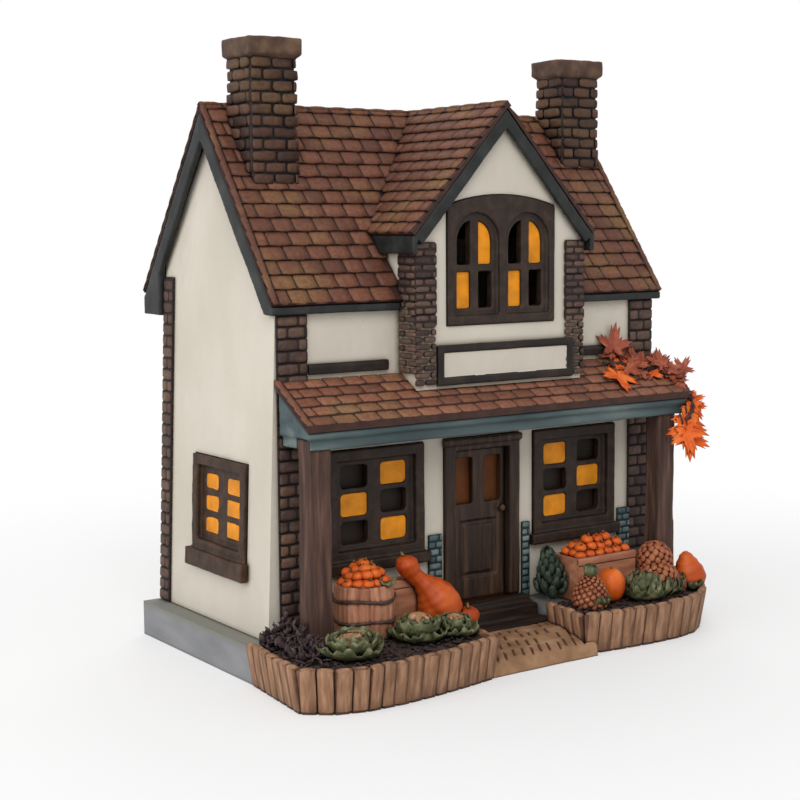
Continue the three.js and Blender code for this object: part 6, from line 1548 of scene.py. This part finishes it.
# Leaves on the porch roof
LOBES = ((-38, 0.55), (22, 0.85), (90, 1.0), (158, 0.85), (218, 0.55))
LOBE_EDGE = ((-19, 0.6), (-12, 0.86), (-8, 0.7), (0, 1), (8, 0.7), (12, 0.86), (19, 0.6))
LEAF_THICK = 0.35
PORCH_RUN = 22.5
ROOF_LEAVES, END_LEAVES = 34, 14
VINE = ((60, -47.6), (66, -48.6), (72, -49.6), (79, -51.6), (86, -54.4), (90.4, -57.4))

# Size, place, turn, tilt and swing of the leaves that hang over the porch's right end
HANGING_LEAVES = (
    (11.6, (87.0, -68.0, 86.0), 178, 80, -30),
    (10.4, (90.8, -67.2, 88.0), 160, 76, -20),
    (9.8, (84.2, -68.4, 82.6), 196, 78, -36),
    (10.6, (88.4, -69.0, 81.0), 172, 74, -26),
    (8.8, (91.6, -66.8, 82.0), 150, 72, -10),
)


def maple_leaf(size, rng, cup):
    """A lobed leaf with toothed edges, its stalk at the origin, cupped along its veins."""
    outline = [(-96, 0.18)]
    for i, (angle, reach) in enumerate(LOBES):
        outline += [(angle + turn, reach * share) for turn, share in LOBE_EDGE]
        if i + 1 < len(LOBES):
            outline.append(((angle + LOBES[i + 1][0]) / 2, 0.36))
    outline.append((276, 0.18))
    rings = (0.0, 0.35, 0.7, 1.0)
    points = []
    for share in rings:
        for angle, reach in outline:
            a = math.radians(angle)
            r = reach * share
            fold = min(abs(math.radians(angle - lobe)) for lobe, _ in LOBES)
            z = cup * (r * r) * 0.7 - 0.1 * r * math.cos(fold * 6) + rng.uniform(-0.02, 0.02) * share
            points.append((r * math.cos(a) * size, (r * math.sin(a) + 0.55) * size, z * size))
    n, half = len(outline), len(points)
    under = [(x, y, z - LEAF_THICK) for x, y, z in points]
    faces = ring_faces(len(rings), n)
    faces += [tuple(half + i for i in reversed(face)) for face in faces]
    for k in range(half - n, half):
        b = k + 1 if k + 1 < half else half - n
        faces.append((b, k, k + half, b + half))
    return welded(points + under, faces)


def porch_level(y):
    """The top of the porch roof."""
    return PORCH_EAVE[1] + (PORCH_RIDGE[1] - PORCH_EAVE[1]) / PORCH_RUN * (y - PORCH_EAVE[0])


def build_garland():
    rng = random.Random(71)
    clay = Clay()

    def leaf(size, spot, turn, tilt, swing, skin, cup=0.25):
        matrix = Matrix.Translation(spot)
        for angle, axis in ((swing, "Z"), (tilt, "X"), (turn, "Z")):
            matrix = matrix @ Matrix.Rotation(math.radians(angle), 4, axis)
        clay.add(maple_leaf(size, rng, cup), matrix, skin)
        stalk = ((0, 0.1 * size, 0), (0.02 * size, -0.15 * size, -0.3), (0, -0.35 * size, -0.8))
        clay.add(tube([matrix @ Vector(p) for p in stalk], [0.4, 0.35, 0.3]), None, 2)

    route = [(x, y, porch_level(y) + 1.2) for x, y in VINE]
    route += [(93.2, -60.4, porch_level(-60.4) - 1.5), (93.8, -64, 90), (90.5, -67.6, 85.6), (84, -67.4, 80)]
    clay.add(smooth_tube(route, [0.7] * 3 + [0.9] * 4 + [0.7, 0.6, 0.5], 8, 2, 0.0), None, 2)
    leaf(10.2, (64.6, -48.4, 106.6), -10, 66, -22, 1, 0.5)
    leaf(9.0, (68.4, -49.4, 106.0), 36, 58, -30, 1, 0.5)
    leaf(11.6, (62.4, -50.8, 104.9), 158, 38, 8, 0)
    for i in range(ROOF_LEAVES):
        t = i / (ROOF_LEAVES - 1)
        x = 68 + 23 * t + rng.uniform(-1.5, 1.5)
        y = -48.4 - 9.5 * t ** 1.3 + rng.uniform(-2.2, 1.2)
        red = rng.random() < 0.6
        leaf(rng.uniform(5.2, 7.6), (x, y, porch_level(y) + rng.uniform(0.8, 2.6)), rng.uniform(0, 360),
             rng.uniform(25, 62), rng.uniform(-60, 5), int(red), 0.45)
    for i in range(END_LEAVES):
        t = i / (END_LEAVES - 1)
        x = 92.4 + rng.uniform(-0.8, 0.8)
        spot = (x, -57.5 - 8 * t, porch_level(-57) - 1 - 9 * t + rng.uniform(-1, 1))
        leaf(rng.uniform(5.2, 7.4), spot, rng.uniform(140, 220), rng.uniform(62, 84), rng.uniform(-50, 0),
             int(i < 6), 0.45)
    for size, spot, turn, tilt, swing in HANGING_LEAVES:
        leaf(size, spot, turn, tilt, swing, 0, 0.4)
    shaped("maple_leaves", clay, [MAPLE_ORANGE, MAPLE_RED, TWIG], ("maple_garland",))


def build_light_unit():
    """The light unit under the base keeps its CAD shapes."""
    for nodes, look in (
        ("base_cover battery_door", BLACK_PLASTIC),
        ("battery_cell_front battery_cell_back", CELL_SLEEVE),
        ("contact_bridge contact_positive contact_negative cover_screw", NICKEL),
        ("light_board", BOARD_GREEN),
        ("lamp", LAMP_RESIN),
        ("switch_knob", SWITCH_WHITE),
    ):
        keep(nodes, look)


# Room
FLOOR_HALF = 4.0
FLOOR_LEVEL = -0.0001
LAMP_AIM = Vector((0, 0, 0.1))
LAMPS = (
    ("key", (-0.55, -0.9, 1.0), 0.7, 8.0),
    ("fill", (-1.1, -0.1, 0.5), 0.9, 4.8),
    ("rim", (0.7, 0.8, 0.9), 0.8, 4.0),
)


def seen_directly(tree):
    """1 for camera, glossy and transmission rays, and 0 for the rays that light the object."""
    rays = new_node(tree, "ShaderNodeLightPath").outputs
    seen = rays["Is Camera Ray"]
    for name in ("Is Glossy Ray", "Is Transmission Ray"):
        seen = new_node(tree, "ShaderNodeMath", {0: seen, 1: rays[name]}, operation="MAXIMUM").outputs[0]
    return seen


def floor_paint():
    """A pale floor that keeps the shadow under the house and goes over into white around it."""
    finish = Finish("studio_floor", 0.9)
    value = finish.noise(0.002, (1, 1, 1), 1.0, 1.0)
    finish.done(finish.ramp(value, [(0.3, (0.86, 0.86, 0.86, 1)), (0.7, (0.88, 0.88, 0.88, 1))]))
    reach = finish.node("VectorMath", {0: finish.place}, operation="LENGTH").outputs["Value"]
    fade = {"Value": reach, "From Min": 0.1, "From Max": 0.42, "To Min": 0.35, "To Max": 1.0}
    white_share = finish.node("MapRange", fade, interpolation_type="SMOOTHSTEP").outputs["Result"]
    seen = seen_directly(finish.tree)
    share = finish.node("Math", {0: seen, 1: white_share}, operation="MULTIPLY").outputs[0]
    white = finish.node("Emission", {"Color": (1, 1, 1, 1), "Strength": 1.0}).outputs[0]
    mix = finish.node("MixShader", {0: share, 1: finish.shader.outputs[0], 2: white}).outputs[0]
    finish.tree.links.new(mix, finish.output.inputs[0])
    return finish.material


def build_room():
    """A floor with an opening under the base cover, a white world and three area lamps."""
    mesh = bpy.data.meshes.new("floor")
    left, right = COVER_LOW.x - MM, COVER_HIGH.x + MM
    front, back = COVER_LOW.y - MM, COVER_HIGH.y + MM
    rim = [(x * FLOOR_HALF, y * FLOOR_HALF) for x, y in ((-1, -1), (1, -1), (1, 1), (-1, 1))]
    hole = [(left, front), (right, front), (right, back), (left, back)]
    mesh.from_pydata([(x, y, FLOOR_LEVEL) for x, y in rim + hole], [],
                     [(i, (i + 1) % 4, (i + 1) % 4 + 4, i + 4) for i in range(4)])
    floor = linked("floor", mesh)
    mesh.materials.append(floor_paint())

    world = bpy.data.worlds.new("room")
    bpy.context.scene.world = world
    world.use_nodes = True
    tree = world.node_tree
    tree.nodes.clear()
    soft, white = (
        new_node(tree, "ShaderNodeBackground", {"Color": (1, 1, 1, 1), "Strength": strength}).outputs[0]
        for strength in (0.55, 1.0)
    )
    mix = new_node(tree, "ShaderNodeMixShader", {0: seen_directly(tree), 1: soft, 2: white})
    new_node(tree, "ShaderNodeOutputWorld", {0: mix.outputs[0]})
    for name, place, size, power in LAMPS:
        data = bpy.data.lights.new(name, "AREA")
        data.size = size
        data.energy = power
        lamp = linked(name, data)
        lamp.location = place
        lamp.rotation_euler = (LAMP_AIM - Vector(place)).to_track_quat("-Z", "Y").to_euler()


build_roofs()
build_brickwork()
build_openings()
build_timber()
build_fence()
build_ground()
build_barrel()
build_left_bed()
build_right_bed()
build_garland()
build_light_unit()
build_room()
